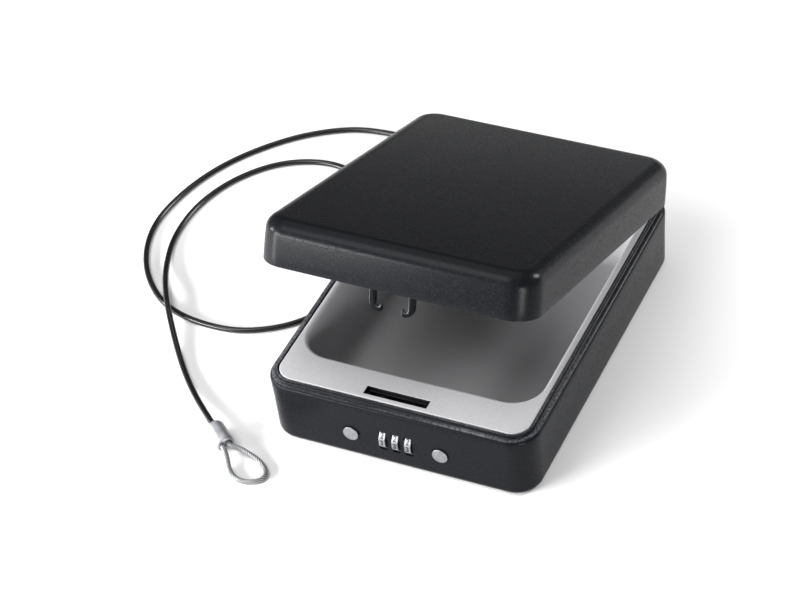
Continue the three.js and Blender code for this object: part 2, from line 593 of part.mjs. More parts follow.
// Dials: figure wheel with a notch between figures, and the cam sleeve inside it
function dials() {
  const share = 360 / DIAL_FIGURES;
  const rim = Array.from({ length: DIAL_FIGURES }, (_, i) => [
    ...arc(dialY, DIAL_Z, DIAL_RADIUS - DIAL_GROOVE, share * (i + 0.5), share * (i + 0.5), 1).slice(1),
    ...arc(dialY, DIAL_Z, DIAL_RADIUS, share * (i + 0.62), share * (i + 1.38), 3),
  ]).flat();
  const bore = SHAFT_RADIUS + GAP;
  dialPlaces.forEach((x, i) => {
    const wheelBore = circle(dialY, DIAL_Z, SLEEVE_RADIUS + GAP, 24);
    const wheel = alongX(rim, x - DIAL_WIDTH / 2, x + DIAL_WIDTH / 2, [wheelBore]);
    addPiece(`dial_wheel_${i + 1}`, wheel, 'chromePlate');
    const tail = i < 2 ? DIAL_PITCH - DIAL_WIDTH / 2 - GAP : camStart + CAM_THICKNESS + GAP;
    const profile = closedProfile([[bore, -DIAL_WIDTH / 2], [SLEEVE_RADIUS, -DIAL_WIDTH / 2],
      [SLEEVE_RADIUS, camStart], [CAM_RADIUS, camStart], [CAM_RADIUS, camStart + CAM_THICKNESS],
      [SLEEVE_RADIUS, camStart + CAM_THICKNESS],
      [SLEEVE_RADIUS, tail], [bore, tail]]);
    const sleeve = lathe(profile, 24).rotateZ(-Math.PI / 2).translate(x, dialY, DIAL_Z);
    const notch = box(x + camStart - 0.2, x + camStart + CAM_THICKNESS + 0.2, dialY + CAM_RADIUS - CAM_NOTCH_DEPTH,
      dialY + CAM_RADIUS + 1, DIAL_Z - CAM_NOTCH_WIDTH / 2, DIAL_Z + CAM_NOTCH_WIDTH / 2);
    addPiece(`cam_sleeve_${i + 1}`, cut(solid(sleeve), notch), 'steel');
  });
}

// Shaft through the dials, with its head, spacer, take-up spring and clip
function dialShaft() {
  const end = shaftReach + cheekThickness + GAP;
  const left = LOCK_X - end;
  const right = LOCK_X + end;
  const grooveRadius = SHAFT_RADIUS - 0.5;
  const shaft = lathe([[0, 0], [SHAFT_RADIUS + 0.9, 0], [SHAFT_RADIUS + 0.9, 1.2], [SHAFT_RADIUS, 1.2],
    [SHAFT_RADIUS, 1.2 + 2 * end], [grooveRadius, 1.2 + 2 * end], [grooveRadius, 2 * end + 2.4],
    [SHAFT_RADIUS, 2 * end + 2.4], [SHAFT_RADIUS, 2 * end + 3.4], [0, 2 * end + 3.4]], 24);
  addPiece('dial_shaft', shaft.rotateZ(-Math.PI / 2).translate(left - 1.2, dialY, DIAL_Z), 'steel');
  const clipOuter = arc(dialY, DIAL_Z, SHAFT_RADIUS + 1.4, -150, 150, 14);
  const clipInner = arc(dialY, DIAL_Z, grooveRadius + GAP, 140, -140, 12);
  addPiece('shaft_clip', alongX([...clipOuter, ...clipInner], right + GAP, right + GAP + 0.6), 'steel');
  const spacerLeft = LOCK_X - shaftReach + GAP;
  const spacerRight = dialPlaces[0] - DIAL_WIDTH / 2 - GAP;
  const spacer = lathe(closedProfile([[SHAFT_RADIUS + GAP, 0], [SLEEVE_RADIUS - 0.3, 0],
    [SLEEVE_RADIUS - 0.3, spacerRight - spacerLeft], [SHAFT_RADIUS + GAP, spacerRight - spacerLeft]]), 20);
  addPiece('shaft_spacer', spacer.rotateZ(-Math.PI / 2).translate(spacerLeft, dialY, DIAL_Z), 'steel');
  const springStart = dialPlaces[2] + camStart + CAM_THICKNESS + 2 * GAP;
  addPiece('shaft_spring', coil(new THREE.Vector3(springStart, dialY, DIAL_Z),
    new THREE.Vector3(LOCK_X + shaftReach - GAP, dialY, DIAL_Z), SHAFT_SPRING_RADIUS, SHAFT_SPRING_WIRE,
    3), 'steel');
}

// Detent spring: leaf with a sprung finger under each dial
function detentSpring() {
  const leafTop = (y) => [y, DIAL_Z - DIAL_RADIUS - GAP];
  const floor = housingFloorTop + GAP;
  const thickness = 0.6;
  const [contactY, contactZ] = leafTop(dialY);
  const top = [[housingBack - HOUSING_WALL - 2, floor + thickness], [dialY + 9, floor + thickness],
    [dialY + 4.5, floor + 2.2], [dialY + 1.6, contactZ - 0.3], [contactY, contactZ], [dialY - 1.6, contactZ - 0.6]];
  const below = top.map(([y, z]) => [y, z - thickness]).reverse();
  const fingers = dialPlaces.map((x) => alongX([...top, ...below], x - 1.7, x + 1.7));
  const strip = box(dialPlaces[0] - 4, dialPlaces[2] + 4, dialY + 9.5, housingBack - HOUSING_WALL - 2,
    floor, floor + thickness);
  addPiece('detent_spring', join(strip, ...fingers), 'steel');
}

// Buttons, catches and their springs, one set on each side
function releases() {
  const wedgeZ = catchZ - 1.8;
  const flangeRadius = BUTTON_RADIUS + 1.3;
  const flangeY = frontY + wallInset(BUTTON_Z - flangeRadius) + SHEET + GAP;
  sides.forEach(({ name, sign, buttonX }) => {
    const shoulder = buttonY + 1;
    const head = lathe([[0, buttonY - 0.4], [0.5 * BUTTON_RADIUS, buttonY - 0.25],
      [0.8 * BUTTON_RADIUS, buttonY + 0.2],
      [0.95 * BUTTON_RADIUS, shoulder - 0.3], [BUTTON_RADIUS, shoulder + 0.2], [BUTTON_RADIUS, flangeY],
      [flangeRadius, flangeY], [flangeRadius, flangeY + 1.2], [STEM_RADIUS, flangeY + 1.2],
      [STEM_RADIUS, wedgeBackY - 0.5], [0, wedgeBackY - 0.5]], 28).translate(buttonX, 0, BUTTON_Z);
    const arm = box(buttonX - 3.5, buttonX + 3.5, catchFrontY, wedgeBackY, BUTTON_Z - STEM_RADIUS,
      catchZ - SLIDE_GAP);
    const inward = (u) => buttonX - sign * u;
    const wedge = alongZ([[inward(0), catchFrontY], [inward(wedgeReach), catchFrontY],
      [inward(wedgeReach - WEDGE_SLOPE * (wedgeBackY - catchFrontY)), wedgeBackY], [inward(0), wedgeBackY]],
    wedgeZ, catchTop);
    addPiece(`push_button_${name}`, join(head, arm, wedge), 'chromePlate');

    const endX = inward(wedgeReach + 0.5);
    const fromCentre = (u) => LATCH_X + sign * u;
    const arms = alongZ([[endX, catchFrontY], [fromCentre(noseTip), catchFrontY], [fromCentre(noseTip), noseFrontY],
      [fromCentre(noseTip - NOSE_WIDTH), noseFrontY], [fromCentre(noseTip - NOSE_WIDTH), catchBackY],
      [endX + sign * WEDGE_SLOPE * CATCH_ARM_WIDTH, catchBackY]], catchZ, catchTop);
    const lugFaces = [fromCentre(lugOuter), fromCentre(lugOuter - LUG_THICKNESS)].sort((a, b) => a - b);
    const lug = box(...lugFaces, catchFrontY + 0.6, catchBackY, catchTop - 0.5, catchTop + LUG_HEIGHT);
    const slope = alongY([[fromCentre(noseTip + 1), catchTop - 2], [fromCentre(noseTip + 1), catchTop + 1],
      [fromCentre(noseTip - 3), catchTop + 1]], noseFrontY - 1, catchFrontY - 0.2);
    addPiece(`latch_catch_${name}`, cut(join(arms, lug), slope), 'zincCasting');

    addPiece(`button_spring_${name}`, coil(new THREE.Vector3(buttonX, flangeY + 1.2 + GAP, BUTTON_Z),
      new THREE.Vector3(buttonX, guideBack - guideThickness - GAP, BUTTON_Z),
      BUTTON_SPRING_RADIUS, BUTTON_SPRING_WIRE, 5), 'steel');
    const springY = (catchFrontY + catchBackY) / 2;
    const springEnds = [fromCentre(lugOuter - LUG_THICKNESS - GAP), fromCentre(postOuter + GAP)];
    addPiece(`catch_spring_${name}`, coil(...springEnds.map((x) => new THREE.Vector3(x, springY, catchSpringZ)),
      CATCH_SPRING_RADIUS, CATCH_SPRING_WIRE, 4), 'steel');
  });
}

// Tether: grommet in the back wall, stop inside, cable, crimped sleeve and wire eye
function tether() {
  const outer = backY - wallInset(CABLE_Z + GROMMET_FLANGE);
  const innerFace = backY - wallInset(CABLE_Z - GROMMET_FLANGE) - SHEET;
  const bore = CABLE_RADIUS + GAP;
  const flangeIn = innerFace - GAP - GROMMET_LIP;
  const grommet = lathe(closedProfile([[bore, flangeIn], [GROMMET_FLANGE - 0.5, flangeIn],
    [GROMMET_FLANGE, flangeIn + 0.5],
    [GROMMET_FLANGE, innerFace - GAP], [GROMMET_GROOVE, innerFace - GAP], [GROMMET_GROOVE, outer + GAP],
    [GROMMET_FLANGE, outer + GAP], [GROMMET_FLANGE, outer + GAP + 0.8],
    [GROMMET_FLANGE - 1.6, outer + GAP + GROMMET_LIP],
    [bore, outer + GAP + GROMMET_LIP]]), 24);
  addPiece('cable_grommet', grommet.translate(cableX, 0, CABLE_Z), 'blackRubber');

  const stopFace = flangeIn - GAP;
  const stop = lathe([[0, stopFace - STOP_LENGTH], [STOP_RADIUS - 1, stopFace - STOP_LENGTH],
    [STOP_RADIUS, stopFace - STOP_LENGTH + 1], [STOP_RADIUS, stopFace - 1], [STOP_RADIUS - 1, stopFace],
    [0, stopFace]], 20);
  addPiece('cable_stop', stop.translate(cableX, 0, CABLE_Z), 'aluminium');

  const cableEnd = ferruleStart.clone().addScaledVector(ferruleHeading, -GAP);
  const route = [
    new THREE.Vector3(cableX, stopFace + GAP, CABLE_Z),
    new THREE.Vector3(cableX, outer + 4, CABLE_Z),
    ...cableRoute.map(fromBackLeft),
    cableEnd.clone().addScaledVector(ferruleHeading, -3 * CABLE_RADIUS),
    cableEnd,
  ];
  const cablePath = new THREE.CatmullRomCurve3(route, false, 'centripetal');
  addPiece('tether_cable', tube(cablePath, CABLE_RADIUS, CABLE_SIDES, CABLE_STEPS), 'blackVinyl');

  const ferrule = lathe([[0, 0], [3.4, 0], [4.9, 0.9], [FERRULE_RADIUS, 3], [FERRULE_RADIUS, FERRULE_LENGTH - 2],
    [FERRULE_RADIUS - 1.2, FERRULE_LENGTH - 0.4], [FERRULE_RADIUS - 2.2, FERRULE_LENGTH], [0, FERRULE_LENGTH]], 24);
  ferrule.applyQuaternion(new THREE.Quaternion().setFromUnitVectors(new THREE.Vector3(0, 1, 0), ferruleHeading));
  addPiece('cable_ferrule', ferrule.translate(...ferruleStart.toArray()), 'aluminium');

  const across = new THREE.Vector3(-ferruleHeading.y, ferruleHeading.x, 0);
  const faceCentre = ferruleStart.clone().addScaledVector(ferruleHeading, FERRULE_LENGTH + GAP);
  const leg = (side, along) => faceCentre.clone().addScaledVector(across, side * EYE_LEG_SPREAD)
    .addScaledVector(ferruleHeading, along);
  const eyePath = new THREE.CatmullRomCurve3([
    leg(-1, 0), leg(-1, EYE_WIRE_RADIUS), ...eyeRoute.map(fromBackLeft), leg(1, EYE_WIRE_RADIUS), leg(1, 0),
  ], false, 'centripetal');
  addPiece('cable_eye', tube(eyePath, EYE_WIRE_RADIUS, 8, 36), 'steel');
  console.log(`cable ${cablePath.getLength().toFixed(1)} mm, eye wire ${eyePath.getLength().toFixed(1)} mm`);
}

baseShell();
liner();
lidShell();
hookPlate();
hinge();
lockHousing();
gateBar();
dials();
dialShaft();
detentSpring();
releases();
tether();

export default safe;
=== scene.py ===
import math

import bmesh
import bpy
from mathutils import Matrix, Vector


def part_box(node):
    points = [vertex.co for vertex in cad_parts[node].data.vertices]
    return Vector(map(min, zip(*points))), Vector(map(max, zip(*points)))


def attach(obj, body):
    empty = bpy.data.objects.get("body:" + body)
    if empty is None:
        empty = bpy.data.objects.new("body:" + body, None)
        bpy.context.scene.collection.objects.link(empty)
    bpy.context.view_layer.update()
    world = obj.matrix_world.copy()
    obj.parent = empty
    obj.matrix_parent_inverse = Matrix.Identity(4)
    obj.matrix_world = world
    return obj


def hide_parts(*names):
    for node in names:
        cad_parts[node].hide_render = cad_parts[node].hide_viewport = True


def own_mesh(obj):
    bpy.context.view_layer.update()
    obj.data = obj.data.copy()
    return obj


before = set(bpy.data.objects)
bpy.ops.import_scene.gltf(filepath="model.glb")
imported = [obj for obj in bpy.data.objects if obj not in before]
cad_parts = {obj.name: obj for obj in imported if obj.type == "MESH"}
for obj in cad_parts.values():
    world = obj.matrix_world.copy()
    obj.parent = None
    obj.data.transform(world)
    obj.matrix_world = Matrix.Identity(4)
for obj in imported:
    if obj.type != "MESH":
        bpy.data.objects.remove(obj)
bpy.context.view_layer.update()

# Portable car safe with its lid ajar. Sizes in the dictionaries are millimetres, the scene is in metres.
scene = bpy.context.scene
mm = 0.001

camera = {
    "place": (591.9, -1157.9, 1195.7),
    "right": (0.90671839, 0.41159862, -0.09191481),
    "down": (0.21311677, -0.63524807, -0.74232145),
    "ahead": (-0.36392719, 0.65348793, -0.66370967),
    "lens": 123.28,
    "sensor": 36.0,
}


def placeCamera():
    data = bpy.data.cameras.new("photoCamera")
    data.lens = camera["lens"]
    data.sensor_width = camera["sensor"]
    eye = bpy.data.objects.new("photoCamera", data)
    scene.collection.objects.link(eye)
    right, down, ahead = (Vector(camera[k]) for k in ("right", "down", "ahead"))
    turn = Matrix((right, -down, -ahead)).transposed()
    eye.matrix_world = Matrix.Translation(Vector(camera["place"]) * mm) @ turn.to_4x4()
    scene.camera = eye


placeCamera()
print("camera placed")

case = {
    "width": 180.0,
    "depth": 245.0,
    "corner": 18.0,
    "sheet": 1.4,
    "cornerSteps": 14,
    "ledge": 46.0,
    "hingeY": 118.0,
    "hingeZ": 48.0,
    "openBy": 20.8,
}
hingeLine = Vector((0, case["hingeY"], case["hingeZ"]))
lidTurn = (
    Matrix.Translation(hingeLine)
    @ Matrix.Rotation(-math.radians(case["openBy"]), 4, "X")
    @ Matrix.Translation(-hingeLine)
)


# Mesh helpers: everything is built from rings of points

def arcPoints(cx, cy, radius, start, end, steps):
    angles = [math.radians(start + (end - start) * i / steps) for i in range(steps + 1)]
    return [(cx + radius * math.cos(a), cy + radius * math.sin(a)) for a in angles]


def roundRect(x0, x1, y0, y1, radius, steps):
    r = max(radius, 0.05)
    return (
        arcPoints(x1 - r, y1 - r, r, 0, 90, steps)
        + arcPoints(x0 + r, y1 - r, r, 90, 180, steps)
        + arcPoints(x0 + r, y0 + r, r, 180, 270, steps)
        + arcPoints(x1 - r, y0 + r, r, 270, 360, steps)
    )


def level(outline, z):
    return [(x, y, z) for x, y in outline]


def caseRing(inset, z):
    w, d = case["width"] / 2 - inset, case["depth"] / 2 - inset
    return level(roundRect(-w, w, -d, d, case["corner"] - inset, case["cornerSteps"]), z)


def skinRings(rings, closed=False):
    # quads from ring to ring, with a cap at each end unless the last ring meets the first
    count = len(rings[0])
    verts = [p for ring in rings for p in ring]
    faces = []
    last = len(rings) if closed else len(rings) - 1
    for r in range(last):
        low, high = r * count, ((r + 1) % len(rings)) * count
        for i in range(count):
            j = (i + 1) % count
            faces.append((low + i, low + j, high + j, high + i))
    if not closed:
        faces.append(tuple(range(count))[::-1])
        faces.append(tuple((len(rings) - 1) * count + i for i in range(count)))
    return verts, faces


def circle(centre, side, up, radius, sides):
    angles = [2 * math.pi * i / sides for i in range(sides)]
    return [tuple(centre + (side * math.cos(a) + up * math.sin(a)) * radius) for a in angles]


def turned(profile, sides, origin, direction):
    # profile: (radius, distance along direction) pairs from one end to the other
    axis = Vector(direction).normalized()
    side = axis.orthogonal().normalized()
    up = axis.cross(side)
    start = Vector(origin)
    return [circle(start + axis * along, side, up, max(radius, 0.001), sides) for radius, along in profile]


def framesAlong(path):
    # directions that turn as little as possible from point to point
    frames = []
    side = None
    for i, p in enumerate(path):
        ahead = (path[min(i + 1, len(path) - 1)] - path[max(i - 1, 0)]).normalized()
        side = ahead.orthogonal() if side is None else side - ahead * side.dot(ahead)
        side = side.normalized()
        frames.append((p, side, ahead.cross(side), ahead))
    return frames


def tubeRings(path, radius, sides):
    return [circle(p, side, up, radius, sides) for p, side, up, _ in framesAlong(path)]


def smoothPath(points, perSpan):
    # centripetal curve through the points
    pts = [Vector(p) for p in points]
    pts = [pts[0] * 2 - pts[1]] + pts + [pts[-1] * 2 - pts[-2]]
    out = []
    for k in range(1, len(pts) - 2):
        a, b, c, d = pts[k - 1 : k + 3]
        d0, d1, d2 = (max((q - p).length ** 0.5, 1e-4) for p, q in ((a, b), (b, c), (c, d)))
        t1 = ((b - a) / d0 - (c - a) / (d0 + d1) + (c - b) / d1) * d1
        t2 = ((c - b) / d1 - (d - b) / (d1 + d2) + (d - c) / d2) * d1
        for s in range(perSpan):
            u = s / perSpan
            out.append(b + t1 * u + (c * 3 - b * 3 - t1 * 2 - t2) * u**2 + (b * 2 - c * 2 + t1 + t2) * u**3)
    return out + [pts[-2]]


def evenPath(path, count):
    runs = [0.0]
    for p, q in zip(path, path[1:]):
        runs.append(runs[-1] + (q - p).length)
    out = []
    k = 0
    for i in range(count + 1):
        want = runs[-1] * i / count
        while k < len(path) - 2 and runs[k + 1] < want:
            k += 1
        span = max(runs[k + 1] - runs[k], 1e-9)
        out.append(path[k].lerp(path[k + 1], min(1.0, (want - runs[k]) / span)))
    return out


def pathLength(path):
    return sum((q - p).length for p, q in zip(path, path[1:]))


def shadeByAngle(mesh, angle):
    mesh.shade_smooth()
    mesh.set_sharp_from_angle(angle=math.radians(angle))


def makeMesh(parts, turnBy=None, weld=1e-7):
    # parts: list of (verts, faces) in millimetres, joined into one mesh; weld is in metres
    verts, faces = [], []
    for someVerts, someFaces in parts:
        base = len(verts)
        verts += [Vector(v) for v in someVerts]
        faces += [tuple(base + i for i in f) for f in someFaces]
    if turnBy is not None:
        verts = [turnBy @ v for v in verts]
    mesh = bpy.data.meshes.new("made")
    mesh.from_pydata([v * mm for v in verts], [], faces)
    mesh.update()
    bm = bmesh.new()
    bm.from_mesh(mesh)
    if weld:
        bmesh.ops.remove_doubles(bm, verts=bm.verts, dist=weld)
    bmesh.ops.recalc_face_normals(bm, faces=bm.faces)
    bm.to_mesh(mesh)
    bm.free()
    return mesh


def applied(holder):
    # the mesh of an object with its modifiers applied
    bpy.context.view_layer.update()
    return bpy.data.meshes.new_from_object(holder.evaluated_get(bpy.context.evaluated_depsgraph_get()))


def linked(name, data):
    holder = bpy.data.objects.new(name, data)
    scene.collection.objects.link(holder)
    return holder


def cutBlock(rings, turnBy=None):
    return makeMesh([skinRings(rings)], turnBy)


def cutMesh(mesh, cutters):
    # takes the cutters out of the mesh
    holder = linked("holder", mesh)
    tools = []
    for i, cutter in enumerate(cutters):
        tool = linked(f"cutter{i}", cutter)
        tools.append(tool)
        step = holder.modifiers.new(f"cut{i}", "BOOLEAN")
        step.operation = "DIFFERENCE"
        step.solver = "EXACT"
        step.object = tool
    result = applied(holder)
    for o in [holder, *tools]:
        bpy.data.objects.remove(o)
    return result


rounding = {"weld": 2e-6, "flatWithin": 1.5, "segments": 2, "sharperThan": 28}


def roundedCopy(node, width):
    # a copy of a plain solid with its flat faces made whole and its edges rounded
    bm = bmesh.new()
    bm.from_mesh(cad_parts[node].data)
    bmesh.ops.remove_doubles(bm, verts=bm.verts, dist=rounding["weld"])
    flat = math.radians(rounding["flatWithin"])
    bmesh.ops.dissolve_limit(bm, angle_limit=flat, verts=bm.verts, edges=bm.edges)
    mesh = bpy.data.meshes.new("rounded")
    bm.to_mesh(mesh)
    bm.free()
    holder = linked("holder", mesh)
    step = holder.modifiers.new("edges", "BEVEL")
    step.width = width * mm
    step.segments = rounding["segments"]
    step.limit_method = "ANGLE"
    step.angle_limit = math.radians(rounding["sharperThan"])
    step.use_clamp_overlap = True
    mesh = applied(holder)
    bpy.data.objects.remove(holder)
    return mesh


def pieceName(node):
    # lock_cover becomes lockCover
    first, *rest = node.split("_")
    return first + "".join(word.capitalize() for word in rest)


def addPiece(name, mesh, material, body, replaced=(), angle=38):
    mesh.name = name
    mesh.materials.clear()
    mesh.materials.append(material)
    shadeByAngle(mesh, angle)
    piece = linked(name, mesh)
    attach(piece, body)
    if replaced:
        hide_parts(*replaced)
    return piece


def secondFinish(mesh, material, picks):
    # a second finish on the faces that the test picks
    mesh.materials.append(material)
    for face in mesh.polygons:
        face.material_index = 1 if picks(face) else 0


# Shader node groups: effects that several finishes share

def newGroup(name, inputs, outputs):
    # gives the tree, the sockets its values come from and the sockets its results go to
    tree = bpy.data.node_groups.new(name, "ShaderNodeTree")
    for label, value in inputs:
        kind = "NodeSocketVector" if isinstance(value, tuple) else "NodeSocketFloat"
        tree.interface.new_socket(name=label, in_out="INPUT", socket_type=kind).default_value = value
    for label in outputs:
        tree.interface.new_socket(name=label, in_out="OUTPUT", socket_type="NodeSocketFloat")
    return tree, tree.nodes.new("NodeGroupInput").outputs, tree.nodes.new("NodeGroupOutput").inputs


def addNode(tree, kind, inputs=None, **settings):
    node = tree.nodes.new(kind)
    for key, value in settings.items():
        setattr(node, key, value)
    for key, value in (inputs or {}).items():
        if isinstance(value, bpy.types.NodeSocket):
            tree.links.new(value, node.inputs[key])
        else:
            node.inputs[key].default_value = value
    return node


def sums(tree, operation, a, b, clamp=False):
    return addNode(tree, "ShaderNodeMath", {0: a, 1: b}, operation=operation, use_clamp=clamp).outputs[0]


def times(tree, a, b, clamp=False):
    return sums(tree, "MULTIPLY", a, b, clamp)


def spread(tree, value, fromLow, fromHigh, toLow=0.0, toHigh=1.0):
    node = addNode(
        tree, "ShaderNodeMapRange",
        {"Value": value, "From Min": fromLow, "From Max": fromHigh, "To Min": toLow, "To Max": toHigh},
    )
    return node.outputs["Result"]


def noiseAt(tree, place, scale, detail=2.0, rough=0.5):
    return addNode(
        tree, "ShaderNodeTexNoise", {"Vector": place, "Scale": scale, "Detail": detail, "Roughness": rough}
    ).outputs["Fac"]


def placeOn(tree):
    return addNode(tree, "ShaderNodeTexCoord").outputs["Object"]


def makePowderGrain():
    # fine pebbled coat over a slow orange peel; Speck marks the tops of single grains
    inputs = [("Grains per metre", 1400.0), ("Peel", 0.35)]
    tree, given, out = newGroup("powderGrain", inputs, ["Height", "Speck"])
    place = placeOn(tree)
    fine = noiseAt(tree, place, given["Grains per metre"], 2.0, 0.6)
    peelScale = times(tree, given["Grains per metre"], 0.16)
    peel = noiseAt(tree, place, peelScale, 1.0)
    slow = times(tree, peel, given["Peel"])
    tree.links.new(sums(tree, "ADD", fine, slow), out["Height"])
    tree.links.new(spread(tree, fine, 0.56, 0.7), out["Speck"])
    return tree


def makeHandling():
    # cloudy areas where hands have polished or dulled the surface
    tree, given, out = newGroup("handling", [("Scale", 22.0), ("Contrast", 0.5)], ["Mask"])
    place = placeOn(tree)
    broad = noiseAt(tree, place, given["Scale"], 4.0, 0.62)
    low = times(tree, given["Contrast"], -0.25)
    tree.links.new(spread(tree, broad, sums(tree, "ADD", low, 0.5), 0.62), out["Mask"])
    return tree


def makeDust():
    # thin dust on faces that look up
    tree, given, out = newGroup("settledDust", [("Scale", 380.0), ("Amount", 0.3)], ["Mask"])
    place = placeOn(tree)
    normal = addNode(tree, "ShaderNodeNewGeometry").outputs["Normal"]
    up = addNode(tree, "ShaderNodeSeparateXYZ", {"Vector": normal}).outputs["Z"]
    facing = spread(tree, up, 0.55, 0.98)
    grains = spread(tree, noiseAt(tree, place, given["Scale"], 6.0, 0.7), 0.5, 0.72)
    drift = noiseAt(tree, place, 14.0, 3.0)
    dusty = times(tree, times(tree, facing, grains), drift)
    tree.links.new(times(tree, dusty, given["Amount"], True), out["Mask"])
    return tree


def makeBrushing():
    # fine lines drawn along one direction; Stretch is small along the lines
    inputs = [("Lines per metre", 2600.0), ("Stretch", (1.0, 1.0, 1.0))]
    tree, given, out = newGroup("brushing", inputs, ["Height", "Streak"])
    mapped = addNode(tree, "ShaderNodeMapping", {"Vector": placeOn(tree), "Scale": given["Stretch"]})
    lines = noiseAt(tree, mapped.outputs["Vector"], given["Lines per metre"], 3.0, 0.55)
    tree.links.new(lines, out["Height"])
    tree.links.new(spread(tree, lines, 0.35, 0.7), out["Streak"])
    return tree


def makeScratches():
    # a few hair-thin crossing scratches
    tree, given, out = newGroup("hairScratches", [("Scale", 60.0), ("Width", 0.012)], ["Mask"])
    place = placeOn(tree)
    bent = addNode(tree, "ShaderNodeTexNoise", {"Vector": place, "Scale": 9.0, "Detail": 1.0})
    both = {0: place, 1: bent.outputs["Color"]}
    pushed = addNode(tree, "ShaderNodeVectorMath", both, operation="ADD").outputs[0]
    spots = {"Vector": pushed, "Scale": given["Scale"]}
    cells = addNode(tree, "ShaderNodeTexVoronoi", spots, feature="DISTANCE_TO_EDGE").outputs["Distance"]
    thin = sums(tree, "LESS_THAN", cells, given["Width"])
    gate = spread(tree, noiseAt(tree, place, 35.0, 2.0), 0.58, 0.66)
    tree.links.new(times(tree, thin, gate, True), out["Mask"])
    return tree


def makeRubbedBand():
    # painted highlight: a pale band between two heights, speckled and patchy, standing in for light caught on
    # rounded edges
    inputs = [("Low", 0.0455), ("High", 0.0463), ("Soft", 0.0002), ("Scale", 650.0)]
    tree, given, out = newGroup("paintedHighlightBand", inputs, ["Mask"])
    place = placeOn(tree)
    height = addNode(tree, "ShaderNodeSeparateXYZ", {"Vector": place}).outputs["Z"]
    low, high, soft = (given[k] for k in ("Low", "High", "Soft"))
    above = spread(tree, height, sums(tree, "SUBTRACT", low, soft), sums(tree, "ADD", low, soft))
    fadeFrom, fadeTo = (sums(tree, step, high, soft) for step in ("SUBTRACT", "ADD"))
    below = spread(tree, height, fadeFrom, fadeTo, 1.0, 0.0)
    speckles = spread(tree, noiseAt(tree, place, given["Scale"], 3.0, 0.6), 0.42, 0.6, 0.25, 1.0)
    patches = spread(tree, noiseAt(tree, place, 16.0, 2.0), 0.4, 0.62, 0.25, 1.0)
    band = times(tree, above, below)
    paintedLight = times(tree, speckles, patches)
    tree.links.new(times(tree, band, paintedLight, True), out["Mask"])
    return tree


powderGrain, handling, settledDust = makePowderGrain(), makeHandling(), makeDust()
brushing, hairScratches, paintedHighlightBand = makeBrushing(), makeScratches(), makeRubbedBand()


def useGroup(tree, group, **values):
    node = tree.nodes.new("ShaderNodeGroup")
    node.node_tree = group
    for key, value in values.items():
        node.inputs[key.replace("_", " ")].default_value = value
    return node.outputs


def mixColours(tree, mask, a, b):
    node = addNode(tree, "ShaderNodeMix", data_type="RGBA")
    node.clamp_factor = True
    for socket, value in (("Factor_Float", mask), ("A_Color", a), ("B_Color", b)):
        found = next(s for s in node.inputs if s.identifier == socket)
        if isinstance(value, bpy.types.NodeSocket):
            tree.links.new(value, found)
        else:
            found.default_value = value
    return next(s for s in node.outputs if s.identifier == "Result_Color")


def colour(text):
    # '#rrggbb' as the eye sees it, to the linear values that the shader needs
    parts = [int(text[i : i + 2], 16) / 255 for i in (1, 3, 5)]
    return (*[c / 12.92 if c <= 0.04045 else ((c + 0.055) / 1.055) ** 2.4 for c in parts], 1.0)


def startMaterial(name, metallic=0.0, specular=0.5, coat=0.0):
    material = bpy.data.materials.new(name)
    material.use_nodes = True
    tree = material.node_tree
    tree.nodes.clear()
    out = tree.nodes.new("ShaderNodeOutputMaterial")
    values = {"Metallic": metallic, "Specular IOR Level": specular, "Coat Weight": coat, "Coat Roughness": 0.1}
    shader = addNode(tree, "ShaderNodeBsdfPrincipled", values)
    tree.links.new(shader.outputs[0], out.inputs[0])
    return material, tree, shader


def addBump(tree, shader, height, distance):
    bump = addNode(tree, "ShaderNodeBump", {"Height": height, "Distance": distance, "Strength": 1.0})
    tree.links.new(bump.outputs["Normal"], shader.inputs["Normal"])


def coated(name, look):
    # painted, moulded or rubbery surface
    material, tree, shader = startMaterial(name, 0.0, look["specular"], look.get("coat", 0.0))
    grain = useGroup(tree, powderGrain, Grains_per_metre=look["grains"], Peel=look["peel"])
    cloud = useGroup(tree, handling, Scale=look["cloudScale"], Contrast=0.5)
    dust = useGroup(tree, settledDust, Scale=420.0, Amount=look["dust"])
    speckled = times(tree, grain["Speck"], look["speckMix"])
    base = mixColours(tree, speckled, colour(look["colour"]), colour(look["speck"]))
    base = mixColours(tree, dust["Mask"], base, colour(look["dustColour"]))
    # painted highlights: pale lines at given heights, standing in for light on the ledge's rounded edges
    for paintedLine in look.get("paintedHighlights", []):
        band = useGroup(tree, paintedHighlightBand, Low=paintedLine["low"], High=paintedLine["high"])
        paintedLight = times(tree, band["Mask"], paintedLine["amount"])
        base = mixColours(tree, paintedLight, base, colour(paintedLine["colour"]))
    tree.links.new(base, shader.inputs["Base Color"])
    rough = spread(tree, cloud["Mask"], 0.0, 1.0, *look["rough"])
    dulled = times(tree, grain["Speck"], look.get("grainRough", 0.0))
    tree.links.new(sums(tree, "ADD", rough, dulled), shader.inputs["Roughness"])
    addBump(tree, shader, grain["Height"], look["bump"] * mm)
    return material


def metal(name, look):
    # bare or plated metal with drawn lines, dulling and hair scratches
    material, tree, shader = startMaterial(name, look.get("metallic", 1.0), 0.5)
    lines = useGroup(tree, brushing, Lines_per_metre=look["lines"], Stretch=look["stretch"])
    cloud = useGroup(tree, handling, Scale=look["cloudScale"], Contrast=0.6)
    marks = useGroup(tree, hairScratches, Scale=90.0, Width=0.012)
    base = mixColours(tree, cloud["Mask"], colour(look["colour"]), colour(look["dull"]))
    scratched = times(tree, marks["Mask"], 0.5)
    base = mixColours(tree, scratched, base, colour(look["bright"]))
    tree.links.new(base, shader.inputs["Base Color"])
    streaked = times(tree, lines["Streak"], look["rough"][1] - look["rough"][0])
    tree.links.new(sums(tree, "ADD", streaked, look["rough"][0]), shader.inputs["Roughness"])
    addBump(tree, shader, lines["Height"], look["bump"] * mm)
    return material


